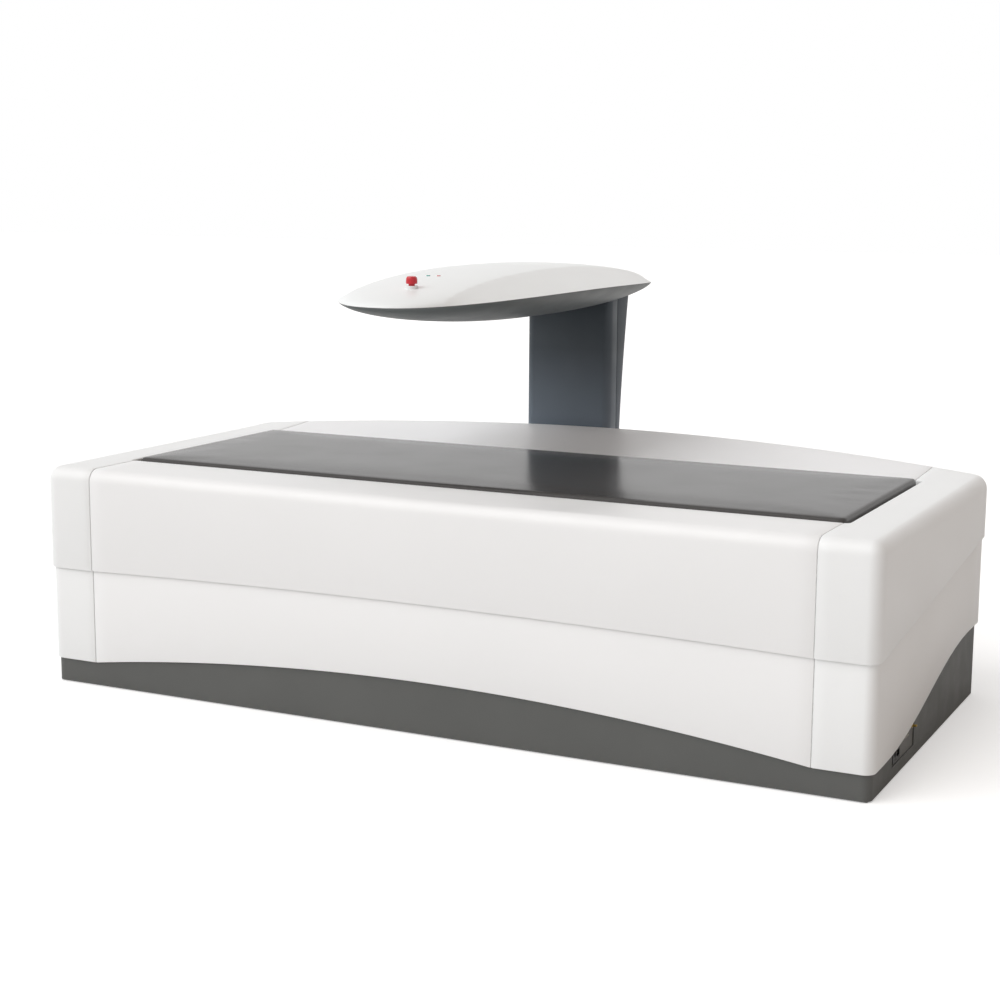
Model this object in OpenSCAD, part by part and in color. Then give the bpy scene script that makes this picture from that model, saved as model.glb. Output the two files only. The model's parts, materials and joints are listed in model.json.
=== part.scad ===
// Bone densitometer: a scanning table with a sliding C-shaped arm that carries a detector head.
// X runs along the table, Y from the front to the rear and Z up.
// Depths are measured from the front face; placed() moves them so that the origin
// lies on the floor under the middle of the whole machine.

/* [Table shell] */
// Overall length of the table
table_l = 2296; // [2200:4:2400]
// Depth of the table at its two ends
table_d = 1076; // [1060:2:1104]
// How far the rear edge bows out past the ends
rear_bow = 162; // [150:2:176]
// Height of the raised middle of the rear rim above the table top
rear_crest = 36; // [10:2:50]
// Height of the table top above the floor
top_z = 595; // [590:1:640]
// Height of the rounded top edge
edge_h = 36; // [20:1:45]
// Width of the rounded top edge
edge_w = 32; // [26:1:32]
// Radius of the two front corners
front_r = 34; // [33:0.5:36]
// Radius of the two rear corners
rear_r = 45; // [36:1:60]
// Wall of the moulded covers
shell_t = 4; // [3:0.5:5]
// Length of each end cover
end_cover_l = 148; // [135:1:155]
// Gap between neighbouring covers
cover_gap = 3; // [2:0.5:4]

/* [Seam and skirt] */
// Height of the seam between upper and lower covers at the front corners
seam_z = 320; // [300:1:335]
// Rise of the seam at the middle of the front
seam_arch = 16; // [0:1:24]
// Rise of the seam from the front to the rear of each end
seam_rise = 112; // [60:1:120]
// Step from the face of the upper covers in to the lower covers
shell_step = 6; // [5:0.5:6.5]
// How far the lower covers reach up behind the upper ones
cover_lap = 12; // [8:1:20]
// Height of the skirt's lower edge at the front corners
skirt_z = 66; // [55:1:80]
// Rise of the skirt's lower edge at the middle of the front
skirt_arch = 71; // [40:1:80]
// Rise of the skirt's lower edge along each end
skirt_rise = 130; // [110:1:140]

/* [Pad and top panel] */
// How far the pad reaches past the end covers' seams
pad_over = 8; // [4:1:14]
// Distance from the pad to the rear edge at the table's ends
pad_back = 178; // [170:1:195]
// Distance from the front face to the pad
pad_front = 206; // [200:1:220]
// Thickness of the mattress pad
pad_t = 40; // [35:1:50]
// How far the pad stands above the rim
pad_proud = 10; // [5:1:15]
// Corner radius of the pad
pad_r = 14; // [8:1:20]
// Gap between the pad and the rim around it
pad_gap = 4; // [3:0.5:6]
// Thickness of the top panel under the pad
panel_t = 25; // [18:1:30]

/* [Plinth and feet] */
// Step from the face of the upper covers in to the plinth
plinth_inset = 12; // [11.5:0.5:14]
// Gap between the plinth and the floor
plinth_gap = 3; // [2:0.5:8]
// Height of the plinth's upper edge
plinth_top = 215; // [205:1:218]
// Distance from the back of the plinth to the rear edge at the table's ends
plinth_back = 24; // [20:1:30]
// Corner radius of the plinth
plinth_r = 22; // [20:1:30]
// Thickness of the plinth's sheet
plinth_t = 3; // [2:0.5:4]
// Radius of a levelling foot
foot_r = 28; // [20:1:30]
// Height of a levelling foot's disc
foot_h = 12; // [8:1:14]
// Radius of a levelling foot's stud
stud_r = 6; // [5:0.5:8]
// Distance of the outer feet from the frame's ends
foot_inset = 105; // [80:5:180]

/* [Chassis] */
// Side of the frame's square tube
tube_w = 40; // [30:1:40]
// Distance of the frame's ends from the ends of the table
frame_inset = 63; // [58:1:68]
// Distance from the front face to the frame
frame_front = 60; // [55:1:62]
// Distance from the back of the frame to the rear edge at the table's ends
frame_back = 56; // [54:1:58]
// Height of the frame's underside above the floor
frame_z = 30; // [28:1:32]
// Width of the two beams that carry the long rails
carrier_w = 60; // [50:1:64]
// Height of the two beams that carry the long rails
carrier_h = 60; // [50:1:64]
// Height of the top face of those beams
carrier_top = 280; // [270:1:282]
// Distance from the front face to the front long rail
rail_front = 150; // [146:1:154]
// Distance from the rear long rail to the back of the frame
rail_back = 80; // [76:1:90]
// Width of a long rail
rail_w = 25; // [20:1:30]
// Height of a long rail
rail_h = 22; // [18:1:24]

/* [Long drive] */
// Distance from the belt to the rear long rail
belt_inset = 240; // [220:5:340]
// Width of the long belt
belt_w = 20; // [15:1:25]
// Thickness of the long belt
belt_t = 3; // [2:0.5:4]
// Radius of the belt pulleys
pulley_r = 30; // [24:1:30]
// Distance of the pulleys from the frame's ends
pulley_inset = 85; // [83:1:100]
// Height of the pulley axles
pulley_z = 290; // [284:1:291]
// Radius of the pulley shafts
shaft_r = 7; // [5:0.5:8]
// Side of the drive motor's body
motor_w = 66; // [50:1:68]
// Length of the drive motor's body
motor_l = 90; // [60:5:110]

/* [Arm] */
// Middle of the arm at rest, along the table
arm_x = -170; // [-300:10:300]
// Length of the carriage along the table
carriage_l = 300; // [240:10:320]
// Distance from the front face to the carriage
carriage_front = 110; // [104:1:112]
// Distance from the back of the carriage to the back of the frame
carriage_back = 10; // [6:1:20]
// Height of the carriage plate's underside
carriage_z = 330; // [329:1:334]
// Thickness of the carriage plate
carriage_t = 12; // [8:1:12]
// Width of the arm's beam
beam_w = 160; // [120:5:180]
// Height of the arm's beam
beam_h = 40; // [30:1:46]
// Height of the beam's underside
beam_z = 424; // [418:1:430]
// Room above and below the beam in the slot in the rear of the table
slot_room = 12; // [10:1:16]
// Height of each brush strip
brush_h = 22; // [18:1:26]

/* [Column] */
// Width of the column
column_w = 276; // [250:2:290]
// Gap between the bowed rear edge and the column
column_gap = 12; // [12:1:18]
// Depth of the column at its foot
column_d = 120; // [112:1:126]
// How much deeper the column is at its top
column_flare = 72; // [30:1:76]
// Height of the column's lower end
column_z = 370; // [350:1:390]
// How far below the head's rim the column ends, inside the head
column_sink = 27; // [22:1:30]
// Radius of the column's front corners
column_fr = 25; // [15:1:35]
// Radius of the column's rear corners
column_rr = 56; // [50:1:58]
// Width of the column's inner frame
post_w = 140; // [100:5:150]
// Depth of the column's inner frame
post_d = 70; // [50:2:72]
// Wall of the column's inner frame
post_wall = 5; // [4:0.5:8]

/* [Head] */
// Half of the head's width along the table
head_a = 290; // [280:5:330]
// Half of the head's length across the table
head_b = 746; // [740:2:766]
// How far the head reaches to the rear of the column's front
head_over = 330; // [324:1:340]
// Height of the head's rim above the floor, at the head's middle
rim_z = 1071; // [1068:1:1080]
// How far the rim droops to the head's front and rear tips
rim_droop = 21; // [10:1:24]
// How square the head's plan is: 2 gives an ellipse
head_square = 2.3; // [2:0.1:2.6]
// Distance from the arm's middle to the lines past which the dome's flanks are straight
head_shoulder = 150; // [130:5:170]
// Height of the head's dome above the rim
dome_h = 60; // [58:1:70]
// Depth of the head's underside below the rim
bowl_h = 88; // [84:1:92]
// Wall of the head's covers
head_t = 4; // [3:0.5:5]
// Width of the flat rim where the head's covers meet
head_rim = 8; // [6:0.5:10]

/* [Scanning carriages] */
// Half of the cross travel of source and detector
scan_travel = 240; // [200:5:240]
// Distance of the source's rails from the arm's middle
tube_rail_x = 90; // [80:1:100]
// Width of the source's rails
tube_rail_w = 15; // [12:1:18]
// Height of the source's rails
tube_rail_h = 12; // [10:1:14]
// Distance of the detector's rails from the arm's middle
det_rail_x = 40; // [38:1:44]
// Width of the detector's rails
det_rail_w = 8; // [6:1:10]
// Height of the detector's rails
det_rail_h = 8; // [6:1:9]
// Thickness of the plate that carries the detector's rails
head_beam_t = 8; // [6:1:8]
// Radius of the source's drive wheel
tube_wheel_r = 15; // [12:1:18]
// Radius of the detector's drive wheel
det_wheel_r = 10; // [8:1:12]
// Radius of the X-ray beam's opening in the collimator
beam_hole_r = 6; // [4:1:9]

/* [Electronics] */
// Length of the power supply
power_l = 300; // [240:5:320]
// Depth of the power supply
power_w = 260; // [200:5:300]
// Height of the power supply
power_h = 120; // [80:5:140]
// Length of the control box
control_l = 260; // [200:5:300]
// Depth of the control box
control_w = 240; // [200:5:300]
// Height of the control box
control_h = 90; // [60:5:120]
// Length of the X-ray tube's housing
housing_l = 170; // [150:2:180]
// Depth of the X-ray tube's housing
housing_w = 144; // [120:2:160]
// Height of the X-ray tube's housing
housing_h = 130; // [110:2:132]

/* [Controls and inlet] */
// Distance from the head's front tip to the stop button
button_in = 140; // [136:2:144]
// Distance of the stop button from the arm's middle
button_x = 26; // [0:2:30]
// Radius of the stop button
button_r = 14.5; // [13:0.5:16]
// Travel of the stop button
button_travel = 4; // [3:0.5:5]
// Radius of the stop button's collar
collar_r = 16; // [15:1:18]
// Radius of the stop button's stem
stem_r = 8; // [6:0.5:10]
// Radius of the indicator lamps
lamp_r = 5; // [4:0.5:7]
// Distance from the front face to the middle of the mains inlet
inlet_d = 237; // [232:1:245]
// Height of the middle of the mains inlet
inlet_z = 54; // [52:1:56]
// Distance from the front face to the network sockets
socket_d = 335; // [325:1:340]
// Height of the network sockets
socket_z = 76; // [72:1:78]
// Distance from the front face to the earth terminal
earth_d = 378; // [375:1:382]
// Height of the earth terminal
earth_z = 86; // [82:1:88]
// Radius of the earth terminal's pin
earth_r = 3; // [2:0.5:4]

/* [Clearances] */
// Radial clearance of shafts that turn in bores
run_gap = 0.05; // [0.03:0.01:0.08]
// Gap between sliding blocks and their rails
slide_gap = 0.5; // [0.3:0.1:0.8]
// Gap between parts that pass through one another's openings
pass_gap = 2; // [1:0.5:2]

/* [Hidden] */
$fn = 48;

half_l = table_l / 2;
seam_x = half_l - end_cover_l;
pad_l = 2 * (seam_x + pad_over);
pad_w = table_d - pad_front - pad_back;
scan_d = pad_front + pad_w / 2;
frame_rear = table_d - frame_back;
rail_rear = frame_rear - rail_back;
carriage_rear = frame_rear - carriage_back;
plinth_d = table_d - plinth_back;
column_front = table_d + rear_bow + column_gap;
belt_d = rail_rear - belt_inset;
head_d = column_front + head_over - head_b;
front_of_rear = (head_d + head_b) / 2;
head_front = head_d - head_b;
button_d = head_front + button_in;
// The rear edge is one arc through both ends, bowed out in the middle.
bow_r = (half_l * half_l + rear_bow * rear_bow) / (2 * rear_bow);
bow_c = table_d + rear_bow - bow_r;
rear_cx = half_l - rear_r;
rear_cd = bow_c + sqrt(pow(bow_r - rear_r, 2) - rear_cx * rear_cx);
rear_turn = asin(rear_cx / (bow_r - rear_r));
wall_z = top_z - edge_h;
panel_z = top_z + pad_proud - pad_t;
recess_x = pad_l / 2 + pad_gap;
recess_front = pad_front - pad_gap;
recess_rear = pad_front + pad_w + pad_gap;
frame_x = half_l - frame_inset;
foot_x = frame_x - foot_inset;
pulley_x = frame_x - pulley_inset;
frame_top = panel_z - panel_t;
rail_top = carrier_top + rail_h;
plate_top = carriage_z + carriage_t;
slot_z = beam_z - slot_room;
column_top = rim_z - column_sink;
column_mid = column_front + column_d / 2;
slot_top = beam_z + beam_h + slot_room;
tube_plate_z = plate_top + tube_rail_h + 8;
tube_plate_t = 8;
det_rail_z = rim_z + 6;
det_plate_z = det_rail_z - det_rail_h - 14;
det_plate_t = 6;
head_beam_w = 170;
tube_reach_front = 100;
tube_reach_rear = 130;
det_reach_front = 45;
det_reach_rear = 80;
tube_rail_front = scan_d - scan_travel - tube_reach_front - 28;
tube_rail_rear = scan_d + scan_travel + tube_reach_rear;
det_rail_front = scan_d - scan_travel - det_reach_front - 5;
det_rail_rear = scan_d + scan_travel + det_reach_rear + 28;
pedestal_d = tube_rail_rear + 12;
plinth_x = half_l - plinth_inset;

// Moves front-face depths to the row's own origin.
module placed() {
  translate([0, -front_of_rear, 0]) children();
}

// The same, for what rides on the arm.
module on_arm() {
  translate([arm_x, -front_of_rear, 0]) children();
}

// A block between two opposite corners.
module block(a, b) {
  translate(a) cube(b - a);
}

// A row of blocks, one at each place along X.
module blocks_at(places, a, b) {
  for (x = places) translate([x, 0, 0]) block(a, b);
}

// A cylinder along Y from depth a to depth b.
module rod_y(x, a, b, z, r) {
  translate([x, b, z]) rotate([90, 0, 0]) cylinder(r = r, h = b - a);
}

// A cylinder along X from x = a to x = b.
module rod_x(a, b, d, z, r) {
  translate([a, d, z]) rotate([0, 90, 0]) cylinder(r = r, h = b - a);
}

// A flat rectangle with round corners, between two opposite corners.
module round_plate(a, b, r) {
  translate([a.x + r, a.y]) square([b.x - a.x - 2 * r, b.y - a.y]);
  translate([a.x, a.y + r]) square([b.x - a.x, b.y - a.y - 2 * r]);
  for (x = [a.x + r, b.x - r], y = [a.y + r, b.y - r]) translate([x, y]) circle(r = r);
}

// Two triangles for the four corners of one patch.
function patch(a, b, c, d) = [[a, b, c], [a, c, d]];

// A wall swept along stations. Each station has a row of outer points and a row of as many
// inner points, so the wall's ends close in a strip of patches between the two rows.
module swept_wall(outer, inner) {
  k = len(outer[0]);
  m = len(outer);
  step = 2 * k;
  points = [for (j = [0:m - 1]) each concat(outer[j], inner[j])];
  skin = [for (j = [0:m - 2], i = [0:k - 2])
    let (a = j * step + i, b = a + step)
    each concat(patch(a, a + 1, b + 1, b), patch(a + k, b + k, b + k + 1, a + k + 1))];
  rims = [for (j = [0:m - 2])
    let (a = j * step, b = a + step, c = a + k, d = b + k)
    each concat(patch(a, b, d, c), patch(c + k - 1, d + k - 1, b + k - 1, a + k - 1))];
  last = (m - 1) * step;
  caps = [for (i = [0:k - 2])
    each concat(patch(k + i, k + i + 1, i + 1, i),
      patch(last + i, last + i + 1, last + k + i + 1, last + k + i))];
  polyhedron(points = points, faces = concat(skin, rims, caps));
}

// Stations on the table's outline: [x, depth, outward x, outward depth].
function front_station(x) = [x, 0, 0, -1];
function front_corner(a) = [half_l - front_r + front_r * sin(a), front_r - front_r * cos(a),
  sin(a), -cos(a)];
function end_station(d) = [half_l, d, 1, 0];
function rear_corner(a) = [rear_cx + rear_r * cos(a), rear_cd + rear_r * sin(a), cos(a), sin(a)];
function bow_station(x) = let (a = asin(x / bow_r)) [x, bow_c + bow_r * cos(a), sin(a), cos(a)];
function inset(s, o, z) = [s[0] - s[2] * o, s[1] - s[3] * o, z];

bow_x_end = bow_r * sin(rear_turn);
corner_steps = 8;
end_steps = 9;
bow_steps = 24;
end_stations = concat(
  [front_station(seam_x + cover_gap / 2)],
  [for (i = [0:corner_steps]) front_corner(90 * i / corner_steps)],
  [for (i = [1:end_steps - 1]) end_station(front_r + (rear_cd - front_r) * i / end_steps)],
  [for (i = [0:corner_steps]) rear_corner((90 - rear_turn) * i / corner_steps)],
  [for (i = [1:2]) bow_station(bow_x_end + (seam_x + cover_gap / 2 - bow_x_end) * i / 2)]
);
front_stations = [for (i = [0:bow_steps])
  front_station((2 * i / bow_steps - 1) * (seam_x - cover_gap / 2))];
rear_stations = [for (i = [0:bow_steps])
  bow_station((1 - 2 * i / bow_steps) * (seam_x - cover_gap / 2))];

// The seam rises gently over the front and steadily along each end.
function rise(d) = 0.5 - 0.5 * cos(180 * min(max((d - 100) / 850, 0), 1));
function seam_at(s) = s[3] < -0.99
  ? seam_z + seam_arch * max(0, 1 - pow(s[0] / seam_x, 2))
  : seam_z + seam_rise * min(max(s[1] / rear_cd, 0), 1);
function skirt_at(s) = s[3] < -0.99
  ? skirt_z + skirt_arch * max(0, 1 - pow(s[0] / seam_x, 2))
  : skirt_z + skirt_rise * rise(s[1]);
function crest_at(s) = s[1] > rear_cd ? rear_crest * max(0, 1 - pow(s[0] / half_l, 2)) : 0;

// Where the rim over a station ends, at the recess that holds the pad.
function front_target(s) = [s[0], recess_front];
function rear_target(s) = [s[0], recess_rear];
recess_r = recess_x - seam_x - cover_gap / 2;
front_count = corner_steps + 2;
function end_target(i) =
  i < front_count
  ? let (a = 90 * i / (front_count - 1))
    [recess_x - recess_r + recess_r * sin(a), recess_front + recess_r - recess_r * cos(a)]
  : i < front_count + end_steps - 1
  ? [recess_x, recess_front + recess_r
      + (recess_rear - recess_front - 2 * recess_r) * (i - front_count + 1) / end_steps]
  : let (a = 90 * (i - front_count - end_steps + 1) / (corner_steps + 2))
    [recess_x - recess_r + recess_r * cos(a), recess_rear - recess_r + recess_r * sin(a)];

edge_steps = 6;
// Outer line of an upper cover over one station: wall, rounded edge, rim and lip.
function upper_outer(s, q, low) = let (c = crest_at(s), e = inset(s, edge_w, top_z + c)) concat(
  [inset(s, 0, low)],
  [for (i = [0:edge_steps]) let (a = 90 * i / edge_steps)
    inset(s, edge_w * (1 - cos(a)), wall_z + c + edge_h * sin(a))],
  [for (f = [0.3, 0.6]) [e.x + (q.x - e.x) * f, e.y + (q.y - e.y) * f, top_z + c * pow(1 - f, 1.3)]],
  [toward(q, e, lip_round, top_z), [q.x, q.y, top_z - lip_round], [q.x, q.y, panel_z]]
);
// Inner line of the same cover, one wall further in.
function upper_inner(s, q, low) = let (c = crest_at(s), e = inset(s, edge_w, top_z + c)) concat(
  [inset(s, shell_t, low)],
  [for (i = [0:edge_steps]) let (a = 90 * i / edge_steps)
    inset(s, shell_t + (edge_w - shell_t) * (1 - cos(a)), wall_z + c + (edge_h - shell_t) * sin(a))],
  [for (f = [0.3, 0.6]) [e.x + (q.x - e.x) * f, e.y + (q.y - e.y) * f,
    top_z - shell_t + c * pow(1 - f, 1.3)]],
  [toward(q, e, lip_round + shell_t, top_z - shell_t),
    toward(q, e, shell_t, top_z - lip_round - shell_t), toward(q, e, shell_t, panel_z)]
);
lip_round = 5;
// A point a set distance from q on the way to e.
function toward(q, e, d, z) = let (v = [e.x - q.x, e.y - q.y], n = norm(v))
  [q.x + v.x * d / n, q.y + v.y * d / n, z];

module mirror_left() {
  mirror([1, 0, 0]) children();
}

module upper_end() {
  swept_wall(
    [for (i = [0:len(end_stations) - 1]) let (s = end_stations[i])
      upper_outer(s, end_target(i), seam_at(s))],
    [for (i = [0:len(end_stations) - 1]) let (s = end_stations[i])
      upper_inner(s, end_target(i), seam_at(s))]
  );
}

// A lower cover from its skirt edge up behind the upper cover.
module lower_wall(stations, low, high) {
  swept_wall(
    [for (i = [0:len(stations) - 1]) let (s = stations[i])
      [inset(s, shell_step, low[i]), inset(s, shell_step, high[i])]],
    [for (i = [0:len(stations) - 1]) let (s = stations[i])
      [inset(s, shell_step + shell_t, low[i]), inset(s, shell_step + shell_t, high[i])]]
  );
}

module upper_front_cover() {
  color([0.96, 0.96, 0.96]) placed() swept_wall(
    [for (s = front_stations) upper_outer(s, front_target(s), seam_at(s))],
    [for (s = front_stations) upper_inner(s, front_target(s), seam_at(s))]
  );
}

module upper_rear_cover() {
  color([0.9, 0.9, 0.91]) placed() swept_wall(
    [for (s = rear_stations) upper_outer(s, rear_target(s), slot_top)],
    [for (s = rear_stations) upper_inner(s, rear_target(s), slot_top)]
  );
}

module upper_right_end_cover() {
  color([0.92, 0.92, 0.93]) placed() upper_end();
}

module upper_left_end_cover() {
  color([0.92, 0.92, 0.93]) placed() mirror_left() upper_end();
}

module lower_front_panel() {
  color([0.95, 0.95, 0.95]) placed() lower_wall(front_stations,
    [for (s = front_stations) skirt_at(s)], [for (s = front_stations) seam_at(s) + cover_lap]);
}

module lower_end() {
  lower_wall(end_stations,
    [for (s = end_stations) skirt_at(s)], [for (s = end_stations) seam_at(s) + cover_lap]);
}

module lower_right_end_panel() {
  color([0.86, 0.84, 0.83]) placed() lower_end();
}

module lower_left_end_panel() {
  color([0.86, 0.84, 0.83]) placed() mirror_left() lower_end();
}

module lower_rear_panel() {
  color([0.9, 0.9, 0.9]) placed() lower_wall(rear_stations,
    [for (s = rear_stations) skirt_z + skirt_rise], [for (s = rear_stations) slot_z]);
}

// Bristle strips that close the slot above and below the arm's beam.
module slot_brushes() {
  color([0.12, 0.12, 0.13]) placed() {
    brush_strip(shell_t, beam_z + beam_h + pass_gap);
    brush_strip(shell_step + shell_t, beam_z - pass_gap - brush_h);
  }
}

module brush_strip(o, z) {
  swept_wall(
    [for (s = rear_stations) [inset(s, o, z), inset(s, o, z + brush_h)]],
    [for (s = rear_stations) [inset(s, o + shell_t, z), inset(s, o + shell_t, z + brush_h)]]
  );
}

// Sheet brackets between the frame and the lower covers.
bracket_z = 240;
bracket_w = 40;
bracket_in = 185;
bracket_half = 250;
bracket_places = [bracket_in - frame_x, -400, 400, frame_x - bracket_in];
module panel_brackets() {
  behind = shell_step + shell_t;
  color([0.6, 0.62, 0.64]) placed() {
    blocks_at(bracket_places, [-bracket_w / 2, behind, bracket_z],
      [bracket_w / 2, rail_front - carrier_w / 2, bracket_z + plinth_t]);
    for (x = bracket_places) {
      reach = bow_c + sqrt(pow(bow_r - behind, 2) - pow(abs(x) + bracket_w / 2, 2));
      translate([x, 0, 0]) block([-bracket_w / 2, rail_rear + carrier_w / 2, bracket_z],
        [bracket_w / 2, reach, bracket_z + plinth_t]);
    }
    for (side = [-1, 1], d = [table_d / 2 - bracket_half, table_d / 2 + bracket_half])
      scale([side, 1, 1]) block([frame_x, d - bracket_w / 2, bracket_z],
        [half_l - behind, d + bracket_w / 2, bracket_z + plinth_t]);
  }
}

// Dark skirting around the foot, with a shelf under the frame and a window for the inlet panel.
inlet_w = 58;
inlet_h = 30;
window_low = inlet_z - inlet_h / 2 - 7;
window_high = earth_z + 36;
window_front = inlet_d - inlet_w / 2 - 12;
window_rear = earth_d + 20;
window_lap = 12;
module plinth() {
  color([0.38, 0.39, 0.39]) placed() difference() {
    translate([0, 0, plinth_gap]) linear_extrude(plinth_top - plinth_gap)
      round_plate([-plinth_x, plinth_inset], [plinth_x, plinth_d], plinth_r);
    translate([0, 0, frame_z]) linear_extrude(plinth_top)
      round_plate([plinth_t - plinth_x, plinth_inset + plinth_t],
        [plinth_x - plinth_t, plinth_d - plinth_t], plinth_r - plinth_t);
    linear_extrude(frame_z - plinth_t)
      round_plate([plinth_t - plinth_x, plinth_inset + plinth_t],
        [plinth_x - plinth_t, plinth_d - plinth_t], plinth_r - plinth_t);
    block([-frame_x + shelf_lap, frame_front + shelf_lap, 0],
      [frame_x - shelf_lap, frame_rear - shelf_lap, plinth_top]);
    block([plinth_x - 2 * plinth_t, window_front, window_low],
      [plinth_x + plinth_t, window_rear, window_high]);
  }
}
shelf_lap = 6;

// Welded frame of square tube, with two beams for the long rails.
module chassis_frame() {
  rows = [frame_front, frame_rear - tube_w];
  ends = [-frame_x, frame_x - tube_w];
  low_top = frame_z + tube_w;
  carrier_z = carrier_top - carrier_h;
  color([0.3, 0.32, 0.34]) placed() difference() {
    union() {
      for (d = rows, z = [frame_z, frame_top - tube_w])
        block([-frame_x, d, z], [frame_x, d + tube_w, z + tube_w]);
      for (x = ends, z = [frame_z, frame_top - tube_w])
        block([x, frame_front, z], [x + tube_w, frame_rear, z + tube_w]);
      for (x = ends) block([x, frame_front, carrier_z], [x + tube_w, frame_rear, carrier_top]);
      for (x = ends, d = rows) block([x, d, frame_z], [x + tube_w, d + tube_w, frame_top]);
      block([-tube_w / 2, frame_front, frame_z], [tube_w / 2, frame_front + tube_w, frame_top]);
      block([-tube_w / 2, frame_front, frame_z], [tube_w / 2, frame_rear, low_top]);
      for (d = [rail_front, rail_rear]) {
        block([-frame_x, d - carrier_w / 2, carrier_z], [frame_x, d + carrier_w / 2, carrier_top]);
        block([-tube_w / 2, d - tube_w / 2, frame_z], [tube_w / 2, d + tube_w / 2, carrier_z]);
      }
    }
    for (x = [-foot_x, 0, foot_x], d = foot_rows)
      translate([x, d, frame_z - 1]) cylinder(r = stud_r + slide_gap, h = tube_w - 3);
  }
}
foot_rows = [frame_front + tube_w / 2, frame_rear - tube_w / 2];

module levelling_feet() {
  color([0.15, 0.15, 0.15]) placed() for (x = [-foot_x, 0, foot_x], d = foot_rows)
    translate([x, d, 0]) {
      cylinder(r1 = foot_r, r2 = foot_r - 4, h = foot_h);
      translate([0, 0, foot_h / 2]) cylinder(r = stud_r, h = frame_z + tube_w - 8 - foot_h / 2);
    }
}

module foot_lock_nuts() {
  color([0.7, 0.7, 0.72]) placed() for (x = [-foot_x, 0, foot_x], d = foot_rows)
    translate([x, d, frame_z - nut_h]) difference() {
      cylinder(r = nut_r, h = nut_h, $fn = 6);
      translate([0, 0, -1]) cylinder(r = stud_r + run_gap, h = nut_h + 2);
    }
}
nut_r = 11;
nut_h = 8;

module base_tray() {
  color([0.66, 0.68, 0.7]) placed()
    block([tray_left, frame_front, tray_z], [tray_right, frame_rear, tray_top]);
}
tray_left = bracket_in - frame_x;
tray_right = -150;
tray_z = frame_z + tube_w;
tray_top = tray_z + plinth_t;
case_in = 240;
case_d = frame_front + case_in;
tray_rim = 40;

// A vented electronics case with a folded lid flange.
module vented_case(size) {
  difference() {
    cube(size);
    for (i = [0:7]) translate([size.x * 0.15 + i * size.x * 0.1, -1, size.z * 0.2])
      cube([size.x * 0.04, 5, size.z * 0.6]);
  }
}

module power_supply() {
  color([0.55, 0.57, 0.6]) placed()
    translate([tray_left + tray_rim, case_d, tray_top]) vented_case([power_l, power_w, power_h]);
}

module control_box() {
  color([0.2, 0.35, 0.3]) placed()
    translate([tray_right - control_l - tray_rim, case_d, tray_top])
      vented_case([control_l, control_w, control_h]);
}

module tabletop_panel() {
  color([0.72, 0.7, 0.66]) placed()
    block([-frame_x, frame_front, frame_top], [frame_x, frame_rear, panel_z]);
}

module mattress_pad() {
  color([0.27, 0.275, 0.285]) placed() translate([0, 0, panel_z]) linear_extrude(pad_t)
    round_plate([-pad_l / 2, pad_front], [pad_l / 2, pad_front + pad_w], pad_r);
}

// Outline of a profiled rail: a waisted bar, standing on y = 0.
module rail_outline(w, h) {
  polygon([[-w / 2, 0], [w / 2, 0], [w / 2, h * 0.4], [w * 0.38, h * 0.55], [w / 2, h * 0.75],
    [w / 2, h], [-w / 2, h], [-w / 2, h * 0.75], [-w * 0.38, h * 0.55], [-w / 2, h * 0.4]]);
}

module long_rails() {
  reach = frame_x - tube_w;
  color([0.75, 0.76, 0.78]) placed() for (d = [rail_front, rail_rear])
    translate([-reach, d, carrier_top]) rotate([90, 0, 90]) linear_extrude(2 * reach)
      rail_outline(rail_w, rail_h);
}

// A block that straddles a rail running along Y, standing over the rail's top face.
module rail_block(w, l, rail_w, low, rail_face, high) {
  difference() {
    block([-w / 2, -l / 2, low], [w / 2, l / 2, high]);
    block([-rail_w / 2 - slide_gap, -l, low - 1],
      [rail_w / 2 + slide_gap, l, rail_face + slide_gap]);
  }
}

module bearing_blocks() {
  color([0.5, 0.52, 0.54]) on_arm() for (x = [-1, 1], d = [rail_front, rail_rear])
    translate([x * (carriage_l / 2 - 32), d, 0]) rotate([0, 0, 90])
      rail_block(60, 60, rail_w, carrier_top + 6, rail_top, carriage_z);
}

well_x = 55;
well_front = 170;
well_back = 60;
module carriage_plate() {
  color([0.7, 0.71, 0.73]) on_arm() difference() {
    block([-carriage_l / 2, carriage_front, carriage_z], [carriage_l / 2, carriage_rear, plate_top]);
    block([-well_x, carriage_front + well_front, carriage_z - 1],
      [well_x, belt_d - well_back, plate_top + 1]);
  }
}

// Outline of the belt's path around both pulleys, seen along Y.
module belt_outline(r) {
  translate([-pulley_x, -r]) square([2 * pulley_x, 2 * r]);
  for (x = [-pulley_x, pulley_x]) translate([x, 0]) circle(r = r);
}

belt_gap = 0.3;
module drive_belt() {
  color([0.1, 0.1, 0.1]) placed() translate([0, belt_d + belt_w / 2, pulley_z]) rotate([90, 0, 0])
    linear_extrude(belt_w) difference() {
      belt_outline(pulley_r + belt_gap + belt_t);
      belt_outline(pulley_r + belt_gap);
    }
}

belt_top = pulley_z + pulley_r + belt_gap + belt_t;
module belt_clamp() {
  color([0.8, 0.8, 0.82]) on_arm() difference() {
    block([-25, belt_d - belt_w / 2 - 10, belt_top - belt_t - 8],
      [25, belt_d + belt_w / 2 + 10, carriage_z]);
    block([-26, belt_d - belt_w / 2 - slide_gap, belt_top - belt_t - slide_gap],
      [26, belt_d + belt_w / 2 + slide_gap, belt_top + slide_gap]);
  }
}

flange_t = 2;
flange_h = 5;
pulley_half = belt_w / 2 + slide_gap + flange_t;
// A flanged belt pulley on an axis along Y.
module pulley_body(x) {
  rod_y(x, belt_d - pulley_half, belt_d + pulley_half, pulley_z, pulley_r);
  for (s = [-1, 1]) rod_y(x, belt_d + s * (pulley_half - flange_t / 2) - flange_t / 2,
    belt_d + s * (pulley_half - flange_t / 2) + flange_t / 2, pulley_z, pulley_r + flange_h);
}

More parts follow.
